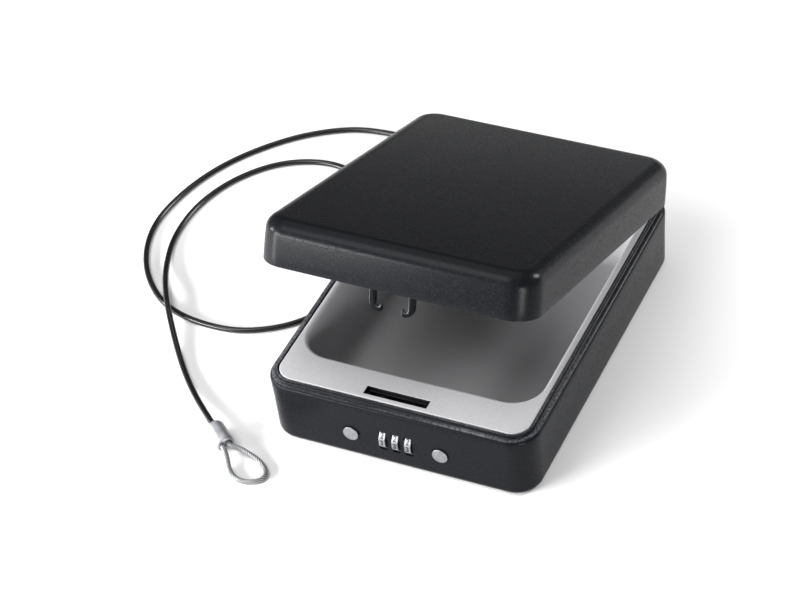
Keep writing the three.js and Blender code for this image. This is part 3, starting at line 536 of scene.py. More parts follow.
finishes = {
    "lidPaint": {
        "colour": "#141518", "speck": "#202124", "speckMix": 0.35, "dustColour": "#8a8a8c", "dust": 0.01,
        "specular": 0.08, "rough": (0.24, 0.27), "grains": 900.0, "peel": 0.2, "bump": 0.05, "cloudScale": 16.0,
        "grainRough": 0.34,
    },
    "basePaint": {
        "colour": "#131417", "speck": "#1d1e21", "speckMix": 0.3, "dustColour": "#8a8a8c", "dust": 0.01,
        # painted highlights: two pale lines along the ledge and the lip, where light catches their rounded
        # edges
        "paintedHighlights": [
            {"low": 0.04565, "high": 0.0461, "amount": 0.8, "colour": "#7c7d83"},
            {"low": 0.0483, "high": 0.0487, "amount": 0.5, "colour": "#7c7d83"},
        ],
        "specular": 0.07, "rough": (0.22, 0.25), "grains": 900.0, "peel": 0.2, "bump": 0.05, "cloudScale": 18.0,
        "grainRough": 0.3,
    },
    "linerPlastic": {
        "colour": "#adadaf", "speck": "#c2c2c3", "speckMix": 0.5, "dustColour": "#dcdcdc", "dust": 0.1,
        "specular": 0.3, "rough": (0.62, 0.72), "grains": 1100.0, "peel": 0.2, "bump": 0.04, "cloudScale": 20.0,
    },
    "blackSteel": {
        "colour": "#1b1c1f", "speck": "#2b2c2f", "speckMix": 0.3, "dustColour": "#77787a", "dust": 0.05,
        "specular": 0.45, "rough": (0.34, 0.46), "grains": 1900.0, "peel": 0.3, "bump": 0.02,
        "cloudScale": 40.0,
    },
    "grommetRubber": {
        "colour": "#141415", "speck": "#1f1f20", "speckMix": 0.4, "dustColour": "#6b6b6c", "dust": 0.12,
        "specular": 0.3, "rough": (0.62, 0.74), "grains": 2600.0, "peel": 0.2, "bump": 0.03, "cloudScale": 60.0,
    },
    "cableVinyl": {
        "colour": "#0d0d0e", "speck": "#151516", "speckMix": 0.25, "dustColour": "#5c5c5d", "dust": 0.02,
        "specular": 0.4, "rough": (0.2, 0.3), "grains": 900.0, "peel": 0.9, "bump": 0.012, "cloudScale": 30.0,
        "coat": 0.15,
    },
    "hookSteel": {
        "colour": "#0b0c0d", "speck": "#141517", "speckMix": 0.3, "dustColour": "#77787a", "dust": 0.01,
        "specular": 0.05, "rough": (0.24, 0.3), "grains": 1500.0, "peel": 0.4, "bump": 0.02, "cloudScale": 60.0,
    },
    # painted highlight: pale finish for the hook edges that catch the light
    "hookEdge": {
        "colour": "#4a4b4f", "speck": "#77787c", "speckMix": 0.5, "dustColour": "#77787a", "dust": 0.01,
        "specular": 0.5, "rough": (0.24, 0.34), "grains": 1500.0, "peel": 0.4, "bump": 0.01, "cloudScale": 90.0,
    },
    # painted shade for the walls of the liner's slot
    "slotPaintedShade": {
        "colour": "#17171a", "speck": "#202023", "speckMix": 0.3, "dustColour": "#4c4c4d", "dust": 0.0,
        "specular": 0.1, "rough": (0.6, 0.7), "grains": 1700.0, "peel": 0.2, "bump": 0.02, "cloudScale": 60.0,
    },
    "figureInk": {
        "colour": "#101011", "speck": "#1c1c1d", "speckMix": 0.3, "dustColour": "#5c5c5d", "dust": 0.02,
        "specular": 0.35, "rough": (0.4, 0.5), "grains": 4000.0, "peel": 0.2, "bump": 0.005,
        "cloudScale": 200.0,
    },
}
paints = {name: coated(name, look) for name, look in finishes.items()}

metalLooks = {
    "zincCasting": {
        "colour": "#7f8286", "dull": "#65686c", "bright": "#a2a5a8", "rough": (0.45, 0.62),
        "lines": 1500.0, "stretch": (1.0, 1.0, 1.0), "bump": 0.03, "cloudScale": 60.0,
    },
    "springSteel": {
        "colour": "#a9acb0", "dull": "#85888c", "bright": "#d4d6d8", "rough": (0.24, 0.4),
        "lines": 2400.0, "stretch": (0.2, 1.0, 1.0), "bump": 0.006, "cloudScale": 90.0,
    },
    "wheelChrome": {
        "colour": "#8c8e91", "dull": "#6e7174", "bright": "#c0c0c0", "rough": (0.3, 0.45), "metallic": 0.6,
        "lines": 3200.0, "stretch": (0.15, 1.0, 1.0), "bump": 0.006, "cloudScale": 130.0,
    },
    # painted shade: a dark metal for faces that lie in shade
    "paintedShadeMetal": {
        "colour": "#2e2f31", "dull": "#232426", "bright": "#4a4b4d", "rough": (0.4, 0.55),
        "lines": 3200.0, "stretch": (0.15, 1.0, 1.0), "bump": 0.004, "cloudScale": 130.0, "metallic": 0.6,
    },
    "buttonChrome": {
        "colour": "#95979b", "dull": "#7b7d81", "bright": "#d0d0d0", "rough": (0.28, 0.42), "metallic": 0.8,
        "lines": 1300.0, "stretch": (1.0, 0.3, 1.0), "bump": 0.05, "cloudScale": 800.0,
    },
    "crimpAluminium": {
        "colour": "#aaabb0", "dull": "#909196", "bright": "#dcdcdc", "rough": (0.36, 0.5), "metallic": 0.6,
        "lines": 1600.0, "stretch": (0.35, 0.5, 1.0), "bump": 0.015, "cloudScale": 90.0,
    },
    # painted shade for the grooves between the strands
    "groovePaintedShade": {
        "colour": "#141415", "dull": "#0c0c0d", "bright": "#2c2d2f", "rough": (0.55, 0.7),
        "lines": 2200.0, "stretch": (1.0, 1.0, 1.0), "bump": 0.004, "cloudScale": 160.0, "metallic": 0.3,
    },
    "eyeWire": {
        "colour": "#dcdcde", "dull": "#c4c5c7", "bright": "#f4f4f4", "rough": (0.3, 0.42), "metallic": 0.45,
        "lines": 2200.0, "stretch": (1.0, 1.0, 1.0), "bump": 0.006, "cloudScale": 160.0,
    },
}
metals = {name: metal(name, look) for name, look in metalLooks.items()}
print("finishes made:", len(paints) + len(metals))


# Tether: coated cable, crimped sleeve, bare wire eye
cable = {
    "radius": 2.0,
    "sides": 16,
    "steps": 560,
    "x": -60.0,
    "z": 14.0,
    "start": 118.1,
    "wallExit": 125.73,
    "lie": 2.05,
    # points without a height lie on the floor
    "route": [
        (-60, 131, 14), (-60.8, 139, 13.4), (-65, 150, 11), (-74, 159.5, 7), (-88, 167.5, 3.6),
        (-107, 173, 2.1), (-138, 175.4), (-168, 171.5), (-197, 156), (-221, 133), (-240, 105),
        (-252, 72), (-255.5, 38), (-248, 8), (-231, -18.5), (-207, -37.5), (-178, -45), (-148, -42.5),
        (-121, -27), (-104, -3), (-96, 24), (-95.5, 53), (-102, 82), (-117, 107), (-141, 125.5),
        (-171, 131.3), (-201, 120.5), (-224, 95), (-236, 62), (-236, 28, 2.1), (-226, -4, 3.4),
        (-208.5, -35.5, 6.6), (-190, -61.5, 4.2), (-170, -86.5, 2.2), (-150, -108, 3.6),
    ],
}
ferrule = {
    "start": (-122.91, -132.31, 6.0),
    "heading": (0.764, -0.645, 0),
    "radius": 6.0,
    "length": 19.2,
    "sides": 72,
    "entry": ((2.05, 1.6), (2.2, 0.5), (2.7, 0.08), (3.3, 0.0)),
    "shoulder": 2.2,
    "pressedRun": 5.5,
    "pinch": 0.85,
    "mouth": 2.4,
    "lumps": ((2, 0.16, 0.6), (3, 0.1, 2.1), (5, 0.08, 0.3), (7, 0.05, 1.4)),
}
eye = {
    "wire": 1.75,
    "strands": 6,
    "strandSides": 12,
    "grooveFrom": 42.0,
    "lay": 11.0,
    "steps": 240,
    "legs": 1.75,
    "route": [
        (-103.3, -153.3, 3.9), (-99.8, -158.4, 2.4), (-96.2, -162.1, 1.85), (-91.4, -165, 1.8),
        (-86.4, -165.9, 1.8), (-81.6, -165.1, 1.8), (-77.7, -162.9, 1.8), (-75.4, -159.4, 1.8),
        (-75.6, -155.4, 1.8), (-78.1, -151.5, 1.8), (-82.6, -147.9, 1.8), (-88.2, -145.3, 2.1),
        (-94, -143.9, 3), (-99.3, -143.4, 4.4),
    ],
}
ferruleStart = Vector(ferrule["start"])
ferruleHeading = Vector(ferrule["heading"]).normalized()
ferruleAcross = Vector((-ferruleHeading.y, ferruleHeading.x, 0))


def tetherCable():
    end = ferruleStart - ferruleHeading * 0.3
    points = [(cable["x"], cable["start"], cable["z"]), (cable["x"], cable["wallExit"], cable["z"])]
    points += [(*p, cable["lie"])[:3] for p in cable["route"]]
    points += [tuple(end - ferruleHeading * 6), tuple(end)]
    path = evenPath(smoothPath(points, 60), cable["steps"])
    rings = tubeRings(path, cable["radius"], cable["sides"])
    piece = addPiece(
        "tetherCable", makeMesh([skinRings(rings)]), paints["cableVinyl"],
        "base", ["tether_cable"],
    )
    return piece, path


def crimpedSleeve():
    # round sleeve, rounded where the cable enters, pressed lumpy where the two wires leave it
    length, radius = ferrule["length"], ferrule["radius"]
    shoulder, run = ferrule["shoulder"], ferrule["pressedRun"]
    profile = list(ferrule["entry"])
    for a in (0.25, 0.5, 0.75, 1.0, 1.3, 1.571):
        profile.append((radius - shoulder + shoulder * math.sin(a), shoulder - shoulder * math.cos(a)))
    profile += [(radius, s) for s in (4, 6, 8, 10, 12, 13.5, 14.8, 16, 17)]
    for inward, back in ((0.05, 1.6), (0.25, 1.0), (0.7, 0.45), (1.4, 0.1)):
        profile.append((radius - inward, length - back))
    rings = []
    for ring, (r, s) in zip(turned(profile, ferrule["sides"], ferruleStart, ferruleHeading), profile):
        pressed = max(0.0, (s - length + run) / run) ** 1.5
        centre = ferruleStart + ferruleHeading * s
        new = []
        for p in ring:
            out = Vector(p) - centre
            side, rise = out.normalized().dot(ferruleAcross), out.normalized().z
            angle = math.atan2(rise, side)
            pinch = ferrule["pinch"] * (1 - side * side) ** 2  # the metal is pushed in between the two wires
            lump = sum(deep * math.sin(n * angle + shift) for n, deep, shift in ferrule["lumps"])
            new.append(tuple(centre + out * (1 + pressed * (lump - pinch - 0.1) / radius)))
        rings.append(new)
    # two round holes that run together, one for each wire
    hole = eye["wire"] + 0.25
    for deep, grow in ((0.25, 0.5), (0.8, 0.0), (2.6, -0.1)):
        centre = ferruleStart + ferruleHeading * (length - deep)
        ring = []
        for p in rings[-1 if deep == 0.25 else -2]:
            out = Vector(p) - centre
            out -= ferruleHeading * out.dot(ferruleHeading)
            side = out.normalized().dot(ferruleAcross)
            reach = ferrule["mouth"] * abs(side) + (hole + grow) * (1 - 0.2 * (1 - side * side) ** 4)
            ring.append(tuple(centre + out.normalized() * reach))
        rings.append(ring)
    return addPiece(
        "cableFerrule", makeMesh([skinRings(rings)]), metals["crimpAluminium"],
        "base", ["cable_ferrule"], angle=50,
    )


def wireEye():
    # six strands laid round one; painted shade: the faces that look at a neighbour get a dark finish, standing
    # in for the shade in the grooves
    face = ferruleStart + ferruleHeading * (ferrule["length"] + 0.3)
    ends = [face + ferruleAcross * side * ferrule["mouth"] + ferruleHeading * along
            for side, along in ((-1, -2.0), (-1, eye["legs"]), (1, eye["legs"]), (1, -2.0))]
    points = [ends[0], ends[1], *[Vector(p) for p in eye["route"]], ends[2], ends[3]]
    path = evenPath(smoothPath(points, 24), eye["steps"])
    total = pathLength(path)
    frames = framesAlong(path)
    thick = eye["wire"] / 3
    sides = eye["strandSides"]
    parts = [skinRings(tubeRings(path, thick * 0.95, 8))]
    grooves = [False] * len(parts[0][1])
    for k in range(eye["strands"]):
        rings = []
        for i, (p, side, up, ahead) in enumerate(frames):
            a = 2 * math.pi * (k / eye["strands"] + total * i / len(frames) / eye["lay"])
            out = side * math.cos(a) + up * math.sin(a)
            rings.append(circle(p + out * (eye["wire"] - thick), out, ahead.cross(out), thick, sides))
        strand = skinRings(rings)
        parts.append(strand)
        for n in range(len(strand[1])):
            off = abs((360 * (n % sides + 0.5) / sides + 180) % 360 - 180)
            grooves.append(n < (len(rings) - 1) * sides and off > eye["grooveFrom"])
    mesh = makeMesh(parts, weld=None)
    piece = addPiece("cableEye", mesh, metals["eyeWire"], "base", ["cable_eye"])
    # painted shade on the faces in the grooves
    secondFinish(mesh, metals["groovePaintedShade"], lambda f: grooves[f.index])
    return piece


tether, tetherPath = tetherCable()
sleeve = crimpedSleeve()
wire = wireEye()
print("tether made, mm:", round(pathLength(tetherPath), 1))


# Base: pressed shell with a stepped ledge
base = {
    "draft": 1.2,
    "fillet": 5.0,
    "ledgeRound": 2.7,
    "lipOut": 4.2,
    "lipIn": 5.7,
    "lipTop": 48.5,
    "rootRound": 1.3,
    "underLip": (3.5, 45.35),
    "joggle": 43.2,
    "windows": {
        "places": (-9.2, -0.6, 8.0), "z": 20.2, "width": 5.0, "height": 15.2, "corner": 0.7, "flare": 0.14,
    },
    "buttons": {"places": (-30.6, 29.4), "z": 20.6, "radius": 5.5},
    "cableHole": 4.2,
    "hingeGap": (67.0, 114.3, 42.9),
}


def wallInset(z):
    return base["draft"] * (1 - (z - base["fillet"]) / (case["ledge"] - base["fillet"]))


def flaredWindow(x0, x1, z0, z1, corner, y0, y1, flare):
    # rounded opening through the front sheet, with a small rounded lead-in on its outer side
    rings = []
    steps = ((1.8, y0), (1.8, y1 - 1.0), (1.0, y1 - 0.35), (0.35, y1 - 0.05), (0.0, y1 + 0.35), (0.0, y1 + 6.0))
    for share, y in steps:
        grow = flare * share
        outline = roundRect(x0 - grow, x1 + grow, z0 - grow, z1 + grow, corner + grow, 6)
        rings.append([(x, y, z) for x, z in outline])
    return rings


def boxRings(x0, x1, y0, y1, z0, z1):
    outline = [(x0, y0), (x1, y0), (x1, y1), (x0, y1)]
    return [level(outline, z0), level(outline, z1)]


def baseShell():
    sheet, ledge = case["sheet"], case["ledge"]
    foot = base["draft"] + base["fillet"]
    edge, root, top = base["ledgeRound"], base["rootRound"], base["lipTop"]
    out, into = base["lipOut"], base["lipIn"]
    crown = (into - out) / 2
    profile = arcPoints(foot, base["fillet"], base["fillet"], 270, 180, 9)
    profile += [(wallInset(16), 16), (wallInset(30), 30), (0.02, ledge - edge - 3)]
    profile += arcPoints(edge, ledge - edge, edge, 180, 90, 6)
    profile += arcPoints(out - root, ledge + root, root, 270, 360, 6)
    profile += arcPoints(out + crown, top - crown, crown, 180, 0, 10)
    under, underZ = base["underLip"]
    profile += [(into, underZ + 0.2), (into - 0.2, underZ), (under, underZ)]
    profile += [(sheet + 0.5, base["joggle"] + 0.3), (sheet + 0.05, base["joggle"] - 0.6)]
    profile += [(wallInset(30) + sheet, 30), (wallInset(16) + sheet, 16)]
    profile += arcPoints(foot, base["fillet"], base["fillet"] - sheet, 180, 270, 7)
    shell = makeMesh([skinRings([caseRing(i, z) for i, z in profile])])
    frontY = -case["depth"] / 2
    cutters = []
    w = base["windows"]
    for x in w["places"]:
        y = frontY + wallInset(w["z"])
        cutters.append(cutBlock(flaredWindow(
            x - w["width"] / 2, x + w["width"] / 2, w["z"] - w["height"] / 2, w["z"] + w["height"] / 2,
            w["corner"], frontY - 3, y, w["flare"],
        )))
    b = base["buttons"]
    for x in b["places"]:
        y = frontY + wallInset(b["z"])
        steps = ((0.3, -3), (0.3, -0.4), (0.16, -0.12), (0.05, 0.05), (0.0, 0.3), (0.0, 6.0))
        rings = turned([(b["radius"] + grow, along) for grow, along in steps], 64, (x, y, b["z"]), (0, 1, 0))
        cutters.append(cutBlock(rings))
    rear = case["depth"] / 2
    bore = base["cableHole"]
    hole = turned([(bore, -6), (bore, 3)], 48, (cable["x"], rear, cable["z"]), (0, 1, 0))
    cutters.append(cutBlock(hole))
    gx, gy, gz = base["hingeGap"]
    cutters.append(cutBlock(boxRings(-gx, gx, gy, rear + 2, gz, top + 2)))
    shell = cutMesh(shell, cutters)
    return addPiece("baseShell", shell, paints["basePaint"], "base", ["base_shell"], angle=32)


studs = {
    "x": (-41.6, 40.4),
    "z": (12.5, 38.6),
    "inset": 0.9,
    "radius": 1.5,
    "root": 1.28,
    "threadFrom": 3.3,
    "pitch": 0.32,
    "grooves": 9,
    "threadTo": 6.3,
    "sides": 20,
}


def weldStuds():
    # threaded ends of the four studs, with a run of fine grooves
    parts = []
    r = studs["radius"]
    for x in studs["x"]:
        for z in studs["z"]:
            start = -case["depth"] / 2 + wallInset(z) + studs["inset"]
            profile = [(r - 0.5, 0.0), (r, 0.1), (r, studs["threadFrom"] - 0.1)]
            for t in range(studs["grooves"]):
                s = studs["threadFrom"] + t * studs["pitch"]
                profile += [(r, s), (studs["root"], s + studs["pitch"] / 2)]
            profile += [(r, studs["threadTo"]), (r - 0.3, studs["threadTo"] + 0.3)]
            parts.append(skinRings(turned(profile, studs["sides"], (x, start, z), (0, 1, 0))))
    return addPiece("weldStuds", makeMesh(parts), metals["springSteel"], "base")


baseShell()
weldStuds()
print("base made")

# Liner: moulded tray with a wide front rim and a latch slot
liner = {
    "inset": 6.2,
    "wall": 2.0,
    "skirt": 3.0,
    "halfWidth": 79.3,
    "front": -91.0,
    "back": 102.0,
    "corner": 20.0,
    "edge": 2.4,
    "floorRound": 11.0,
    "draft": 2.0,
    "floor": 3.7,
    "outerRound": 0.8,
    "slot": {"x": -2.5, "y": -109.4, "length": 42.2, "width": 7.0, "corner": 0.5},
    "hingeGap": (67.6, 114.7),
}


def linerTray():
    top, floor, wall = base["lipTop"], liner["floor"], liner["wall"]

    def tub(grow, z):
        wider = grow - liner["draft"] * (top - z) / (top - floor)
        w, corner = liner["halfWidth"] + wider, liner["corner"] + wider
        front, back = liner["front"] - wider, liner["back"] + wider
        return level(roundRect(-w, w, front, back, corner, case["cornerSteps"]), z)

    r = liner["floorRound"]
    rings = [tub(-u, z) for u, z in arcPoints(r, floor + r, r, 270, 180, 10)]
    rings += [tub(0, z) for z in (20, 28, 36, 43)]
    rings += [tub(-u, z) for u, z in arcPoints(-liner["edge"], top - liner["edge"], liner["edge"], 0, 90, 7)]
    i, o = liner["inset"], liner["outerRound"]
    rings += [caseRing(inset, z) for inset, z in arcPoints(i + o, top - o, o, 90, 180, 5)]
    foot = top - liner["skirt"]
    rings += [caseRing(i, foot), caseRing(i + wall, foot), caseRing(i + wall, top - wall)]
    rings += [tub(wall, top - wall), tub(wall, 30)]
    rings += [tub(-u, z) for u, z in arcPoints(r, floor + r, r + wall, 180, 270, 8)]
    tray = makeMesh([skinRings(rings)])
    s = liner["slot"]
    x0, x1 = s["x"] - s["length"] / 2, s["x"] + s["length"] / 2
    y0, y1 = s["y"] - s["width"] / 2, s["y"] + s["width"] / 2
    slotRings = []
    for grow, z in ((0.2, top + 2), (0.2, top + 0.12), (0.06, top - 0.06), (0.0, top - 0.2), (0.0, top - 5)):
        outline = roundRect(x0 - grow, x1 + grow, y0 - grow, y1 + grow, s["corner"] + grow, 6)
        slotRings.append(level(outline, z))
    gx, gy = liner["hingeGap"]
    hingeGap = boxRings(-gx, gx, gy, case["depth"] / 2, 1, top + 2)
    tray = cutMesh(tray, [cutBlock(slotRings), cutBlock(hingeGap)])
    addPiece("linerTray", tray, paints["linerPlastic"], "base", ["liner_tray"], angle=32)

    def inSlot(face):
        # painted shade: the walls of the slot get a dark finish, as they lie in shade
        x, y, z = face.center / mm
        within = abs(x - s["x"]) < s["length"] / 2 + 0.1 and abs(y - s["y"]) < s["width"] / 2 + 0.1
        return within and z < top - 0.15

    secondFinish(tray, paints["slotPaintedShade"], inSlot)


linerTray()
print("liner made")

# Lid: pressed cover with a deep skirt
lidPress = {
    "skirtFoot": 46.3,
    "height": 28.9,
    "edge": 9.5,
    "draft": 0.6,
    "hem": 0.5,
    "notch": (7.0, 6.5),
}


def lidShell():
    sheet, foot = case["sheet"], lidPress["skirtFoot"]
    top = foot + lidPress["height"]
    edge = lidPress["edge"]
    bend = lidPress["draft"] + edge
    hem = lidPress["hem"]
    profile = arcPoints(bend, top - edge, edge, 90, 180, 12)
    profile += [(0.3, top - edge - 5), (0.1, foot + 6)]
    profile += arcPoints(hem, foot + hem, hem, 180, 270, 4)
    profile += arcPoints(sheet - 0.4, foot + 0.4, 0.4, 270, 360, 3)
    profile += [(sheet + 0.1, foot + 8)]
    profile += arcPoints(bend, top - edge, edge - sheet, 180, 90, 10)
    shell = makeMesh([skinRings([caseRing(i, z) for i, z in profile])], lidTurn)
    deep, high = lidPress["notch"]
    rear = case["depth"] / 2
    wide = case["width"]
    notch = boxRings(-wide, wide, rear - deep, rear + 2, foot - 2, foot + high)
    shell = cutMesh(shell, [cutBlock(notch, lidTurn)])
    return addPiece("lidShell", shell, paints["lidPaint"], "lid", ["lid_shell"], angle=32)


lidShell()
print("lid made")

# Dials: wheels with ten flats and printed figures
dials = {
    "y": -115.245,
    "z": 20.2,
    "radius": 8.6,
    "width": 4.2,
    "bore": 3.5,
    "flats": 10,
    "flatHalf": 15.6,
    "flank": 1.6,
    "groove": 0.3,
    "edge": 0.25,
    "figure": 5.8,
    "figureWide": 0.82,
    "proud": 0.04,
    "bolder": 0.15,
    "front": 3,
}


def dialOutline(radius, sink):
    # flats with a shallow groove between each two, as (y, z) offsets
    points = []
    share, half = 360 // dials["flats"], dials["flatHalf"]
    low, nearLow = radius - sink, radius - sink * 0.85
    groove = half + dials["flank"]
    corners = ((-share / 2, low), (-groove, nearLow), (-half, radius), (half, radius), (groove, nearLow))
    for k in range(dials["flats"]):
        for angle, r in corners:
            a = math.radians(share * k + angle)
            points.append((r * math.cos(a), r * math.sin(a)))
    return points


def dialWheel(number, x):
    half, edge = dials["width"] / 2, dials["edge"]
    rings = []
    count = 5 * dials["flats"]
    turns = [2 * math.pi * i / count - 0.314 for i in range(count)]
    bore = [(dials["bore"] * math.cos(a), dials["bore"] * math.sin(a)) for a in turns]
    for inset, along in ((edge, -half), (0.0, -half + edge), (0.0, half - edge), (edge, half)):
        outline = dialOutline(dials["radius"] - inset, dials["groove"])
        rings.append([(x + along, dials["y"] + y, dials["z"] + z) for y, z in outline])
    for along in (half, -half):
        rings.append([(x + along, dials["y"] + y, dials["z"] + z) for y, z in bore])
    mesh = makeMesh([skinRings(rings, closed=True)])
    addPiece(
        f"dialWheel{number}", mesh, metals["wheelChrome"], f"dial_{number}",
        [f"dial_wheel_{number}"], angle=30,
    )
    # painted shade: the flanks get a dark finish, standing in for the shade inside the window; only the rim
    # keeps the chrome
    secondFinish(mesh, metals["paintedShadeMetal"], lambda f: abs(f.normal.x) > 0.9)


def figureShape(text):
    # outline of one figure as a thin solid, in millimetres round its own middle
    data = bpy.data.curves.new("figure", "FONT")
    data.body = text
    data.size = dials["figure"]
    data.align_x, data.align_y = "CENTER", "CENTER"
    data.extrude = dials["proud"]
    data.offset = dials["bolder"]
    data.resolution_u = 6
    holder = linked("figure", data)
    mesh = applied(holder)
    bpy.data.objects.remove(holder)
    verts = [v.co.copy() for v in mesh.vertices]
    low = Vector([min(v[i] for v in verts) for i in range(3)])
    high = Vector([max(v[i] for v in verts) for i in range(3)])
    verts = [v - (low + high) / 2 for v in verts]
    return verts, [tuple(p.vertices) for p in mesh.polygons]


figureShapes = {str(k): figureShape(str(k)) for k in range(10)}


def dialFigures(number, x):
    flat = dials["radius"] * math.cos(math.radians(dials["flatHalf"])) + dials["proud"] * 0.6
    parts = []
    for k in range(dials["flats"]):
        # the figure at the front faces -Y; higher figures follow as the wheel turns down
        verts, faces = figureShapes[str((dials["front"] - k) % dials["flats"])]
        a = math.radians(180 - 360 // dials["flats"] * k)
        out = Vector((0, math.cos(a), math.sin(a)))
        along = Vector((0, math.sin(a), -math.cos(a)))
        middle = Vector((x, dials["y"], dials["z"])) + out * flat
        across = Vector((1, 0, 0)) * dials["figureWide"]
        parts.append(([middle + across * v.x + along * v.y + out * v.z for v in verts], faces))
    mesh = makeMesh(parts, weld=1e-8)
    addPiece(f"dialFigures{number}", mesh, paints["figureInk"], f"dial_{number}", angle=20)


for number, place in enumerate(base["windows"]["places"], 1):
    dialWheel(number, place)
    dialFigures(number, place)
print("dials made")

# Buttons: domed caps on the stems that drive the catches
buttons = {
    "face": -123.357,
    "radius": 5.1,
    "dome": 0.35,
    "rim": 0.28,
    "flange": 6.4,
    "stem": 3.0,
    "flangeY": -119.869,
    "split": -114.0,
    "sides": 72,
}


def pushButton(node, body, x):
    # turned head in front, plain arm and wedge behind it
    r, face, rim = buttons["radius"], buttons["face"], buttons["rim"]
    back, wide = buttons["flangeY"], buttons["flange"]
    profile = [(0.0, face)]
    for i in range(1, 9):
        u = i / 8
        profile.append(((r - rim) * u, face + buttons["dome"] * u * u))
    edge = profile[-1][1]
    for a in (0.45, 0.8, 1.15, 1.571):
        profile.append((r - rim + rim * math.sin(a), edge + rim * 1.1 * (1 - math.cos(a))))
    profile += [(r, back - 0.3), (r + 0.1, back), (wide - 0.15, back), (wide, back + 0.15), (wide, back + 1.05)]
    profile += [(wide - 0.15, back + 1.2), (buttons["stem"], back + 1.2), (buttons["stem"], buttons["split"])]
    rings = turned(profile, buttons["sides"], (x, 0, base["buttons"]["z"]), (0, 1, 0))
    head = makeMesh([skinRings(rings)])
    arm = roundedCopy(node, 0.12)
    bm = bmesh.new()
    bm.from_mesh(arm)
    bmesh.ops.bisect_plane(
        bm, geom=[*bm.verts, *bm.edges, *bm.faces],
        plane_co=(0, buttons["split"] * mm, 0), plane_no=(0, 1, 0), clear_inner=True,
    )
    bmesh.ops.holes_fill(bm, edges=[e for e in bm.edges if e.is_boundary], sides=0)
    bm.from_mesh(head)
    mesh = bpy.data.meshes.new("button")
    bm.to_mesh(mesh)
    bm.free()
    addPiece(pieceName(node), mesh, metals["buttonChrome"], body, [node], angle=40)
    # painted shade: all but the face and its rim get a dark finish, standing in for the shade on the button's
    # side
    secondFinish(mesh, metals["paintedShadeMetal"], lambda f: f.normal.y >= -0.3 or f.center.y >= back * mm)


for side, place in zip(("left", "right"), base["buttons"]["places"]):
    pushButton(f"push_button_{side}", f"button_{side}", place)
print("buttons made")


# Pieces whose plain solid has the right shape: same form, rounded edges, own finish.
# Each with its group, finish, slot and width of the rounding; the lock's steel parts share all but the width.
lockSteel = {
    "gate_bar": 0.15, "dial_shaft": 0.12, "shaft_clip": 0.08, "shaft_spacer": 0.1, "detent_spring": 0.08,
}
carried = {
    "hook_plate": ("lid", paints["hookSteel"], "black_steel", 0.55),
    "hinge_leaf_base": ("base", paints["blackSteel"], "black_steel", 0.12),
    "hinge_leaf_lid": ("lid", paints["blackSteel"], "black_steel", 0.12),
    "hinge_pin": ("base", metals["springSteel"], "steel", 0.2),
    "lock_housing": ("base", metals["zincCasting"], "zinc_casting", 0.25),
    "lock_cover": ("base", paints["blackSteel"], "black_steel", 0.2),
    **{node: ("base", metals["springSteel"], "steel", width) for node, width in lockSteel.items()},
    "cable_grommet": ("base", paints["grommetRubber"], "black_rubber", 0.2),
    "cable_stop": ("base", metals["crimpAluminium"], "aluminium", 0.2),
    **{
        f"latch_catch_{side}": (f"catch_{side}", metals["zincCasting"], "zinc_casting", 0.25)
        for side in ("left", "right")
    },
    **{f"housing_nut_{i}": ("base", metals["springSteel"], "steel", 0.2) for i in range(1, 5)},
    **{f"cam_sleeve_{i}": (f"dial_{i}", metals["springSteel"], "steel", 0.1) for i in range(1, 4)},
}


def wornThin(face):
    # painted highlight: the rounded edges that look left and those on the tops of the tips get a pale finish
    # where the lamps catch them
    n = face.normal
    return max(abs(n.x), abs(n.y), abs(n.z)) < 0.93 and (n.x < -0.3 or n.z > 0.5)


def carryOver():
    for node, (body, material, slot, width) in carried.items():
        mesh = roundedCopy(node, width)
        addPiece(pieceName(node), mesh, material, body, [node], angle=30)
        # painted highlight on the edges of the hook plate
        if node == "hook_plate":
            secondFinish(mesh, paints["hookEdge"], wornThin)


carryOver()
print("small pieces made:", len(carried))

# Springs: round wire wound as in the lock
buttonSpring = {"axis": 1, "radius": 4.3, "wire": 0.4, "curls": 5, "travel": 3.2}
catchSpring = {"axis": 0, "radius": 1.6, "wire": 0.25, "curls": 4, "travel": 4.4}
springs = {
    "button_spring_left": {**buttonSpring, "joint": "button_left_press", "fixed": "high"},
    "button_spring_right": {**buttonSpring, "joint": "button_right_press", "fixed": "high"},
    "catch_spring_left": {**catchSpring, "joint": "catch_left_slide", "fixed": "high"},
    "catch_spring_right": {**catchSpring, "joint": "catch_right_slide", "fixed": "low"},
    "shaft_spring": {"axis": 0, "radius": 3.2, "wire": 0.3, "curls": 3, "joint": None},
}
stepsPerCurl, wireSides = 28, 10


def woundSpring(node, s):
    low, high = (Vector(c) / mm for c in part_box(node))
    k = s["axis"]
    middle = (low + high) / 2
    length = high[k] - low[k] - 2 * s["wire"]
    reach = s["radius"] - s["wire"]
    steps = s["curls"] * stepsPerCurl
    points = []
    for i in range(steps + 1):
        a = 2 * math.pi * s["curls"] * i / steps
        p = middle.copy()
        p[k] = low[k] + s["wire"] + length * i / steps
        others = [n for n in range(3) if n != k]
        p[others[0]] += reach * math.cos(a)
        p[others[1]] += reach * math.sin(a)
        points.append(p)
    mesh = makeMesh([skinRings(tubeRings(points, s["wire"], wireSides))])
    piece = addPiece(pieceName(node), mesh, metals["springSteel"], "base", [node])
    if s["joint"]:
        anchor = middle.copy()
        anchor[k] = high[k] if s["fixed"] == "high" else low[k]
        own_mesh(piece)


for node, s in springs.items():
    woundSpring(node, s)
print("springs made:", len(springs))

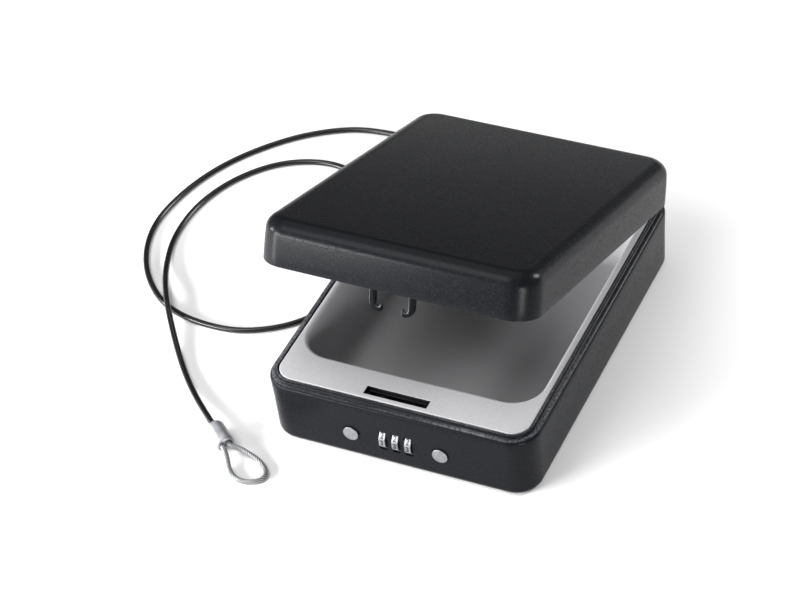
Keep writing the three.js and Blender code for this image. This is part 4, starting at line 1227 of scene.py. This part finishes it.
# Floor, lamps and world
studio = {
    "floor": "#f6f6f6",
    "floorSize": 16.0,
    "worldColour": "#ffffff",
    "world": 0.12,
    # place, aim and size in metres, then watts
    "lamps": {
        "overhead": ((-0.2, 0.4, 1.5), (-0.15, 0.3, 0.05), (1.4, 1.8), 10.0),
        "frontLeft": ((-0.38, -0.55, 1.1), (0, 0, 0.08), (0.65, 0.65), 7.0),
        "leftLow": ((-0.58, -0.78, 0.29), (0, -0.16, 0.12), (0.56, 0.14), 13.0),
        "rightBack": ((0.76, 0.8, 0.52), (0.08, 0, 0.06), (0.3, 0.34), 10.0),
        "leftEdge": ((-0.75, -0.62, 0.13), (-0.06, -0.1, 0.12), (0.14, 0.24), 4.5),
        "leftGlint": ((-0.86, -0.27, 0.25), (-0.09, -0.1, 0.13), (0.14, 0.14), 4.5),
        "frontRight": ((0.72, -0.7, 0.16), (0.08, -0.1, 0.1), (0.3, 0.28), 5.0),
    },
}


def buildStudio():
    reach = studio["floorSize"] / 2
    corners = [(x * reach, y * reach, 0) for x, y in ((-1, -1), (1, -1), (1, 1), (-1, 1))]
    mesh = bpy.data.meshes.new("floor")
    mesh.from_pydata(corners, [], [(0, 1, 2, 3)])
    floor = linked("floor", mesh)
    material, tree, shader = startMaterial("floorPaper", specular=0.2)
    grain = useGroup(tree, powderGrain, Grains_per_metre=700.0, Peel=0.2)
    fibres = times(tree, grain["Speck"], 0.05)
    pale = mixColours(tree, fibres, colour(studio["floor"]), colour("#ffffff"))
    tree.links.new(pale, shader.inputs["Base Color"])
    shader.inputs["Roughness"].default_value = 0.85
    mesh.materials.append(material)
    for name, (place, aim, size, watts) in studio["lamps"].items():
        data = bpy.data.lights.new(name, "AREA")
        data.shape = "RECTANGLE"
        data.size, data.size_y = size
        data.energy = watts
        holder = linked(name, data)
        holder.location = place
        towards = Vector(aim) - Vector(place)
        holder.rotation_euler = towards.to_track_quat("-Z", "Y").to_euler()
        holder.visible_camera = False
    world = bpy.data.worlds.new("studioAir")
    world.use_nodes = True
    back = world.node_tree.nodes["Background"]
    back.inputs["Color"].default_value = colour(studio["worldColour"])
    back.inputs["Strength"].default_value = studio["world"]
    scene.world = world
    scene.view_settings.view_transform = "Standard"


buildStudio()
print("studio built")
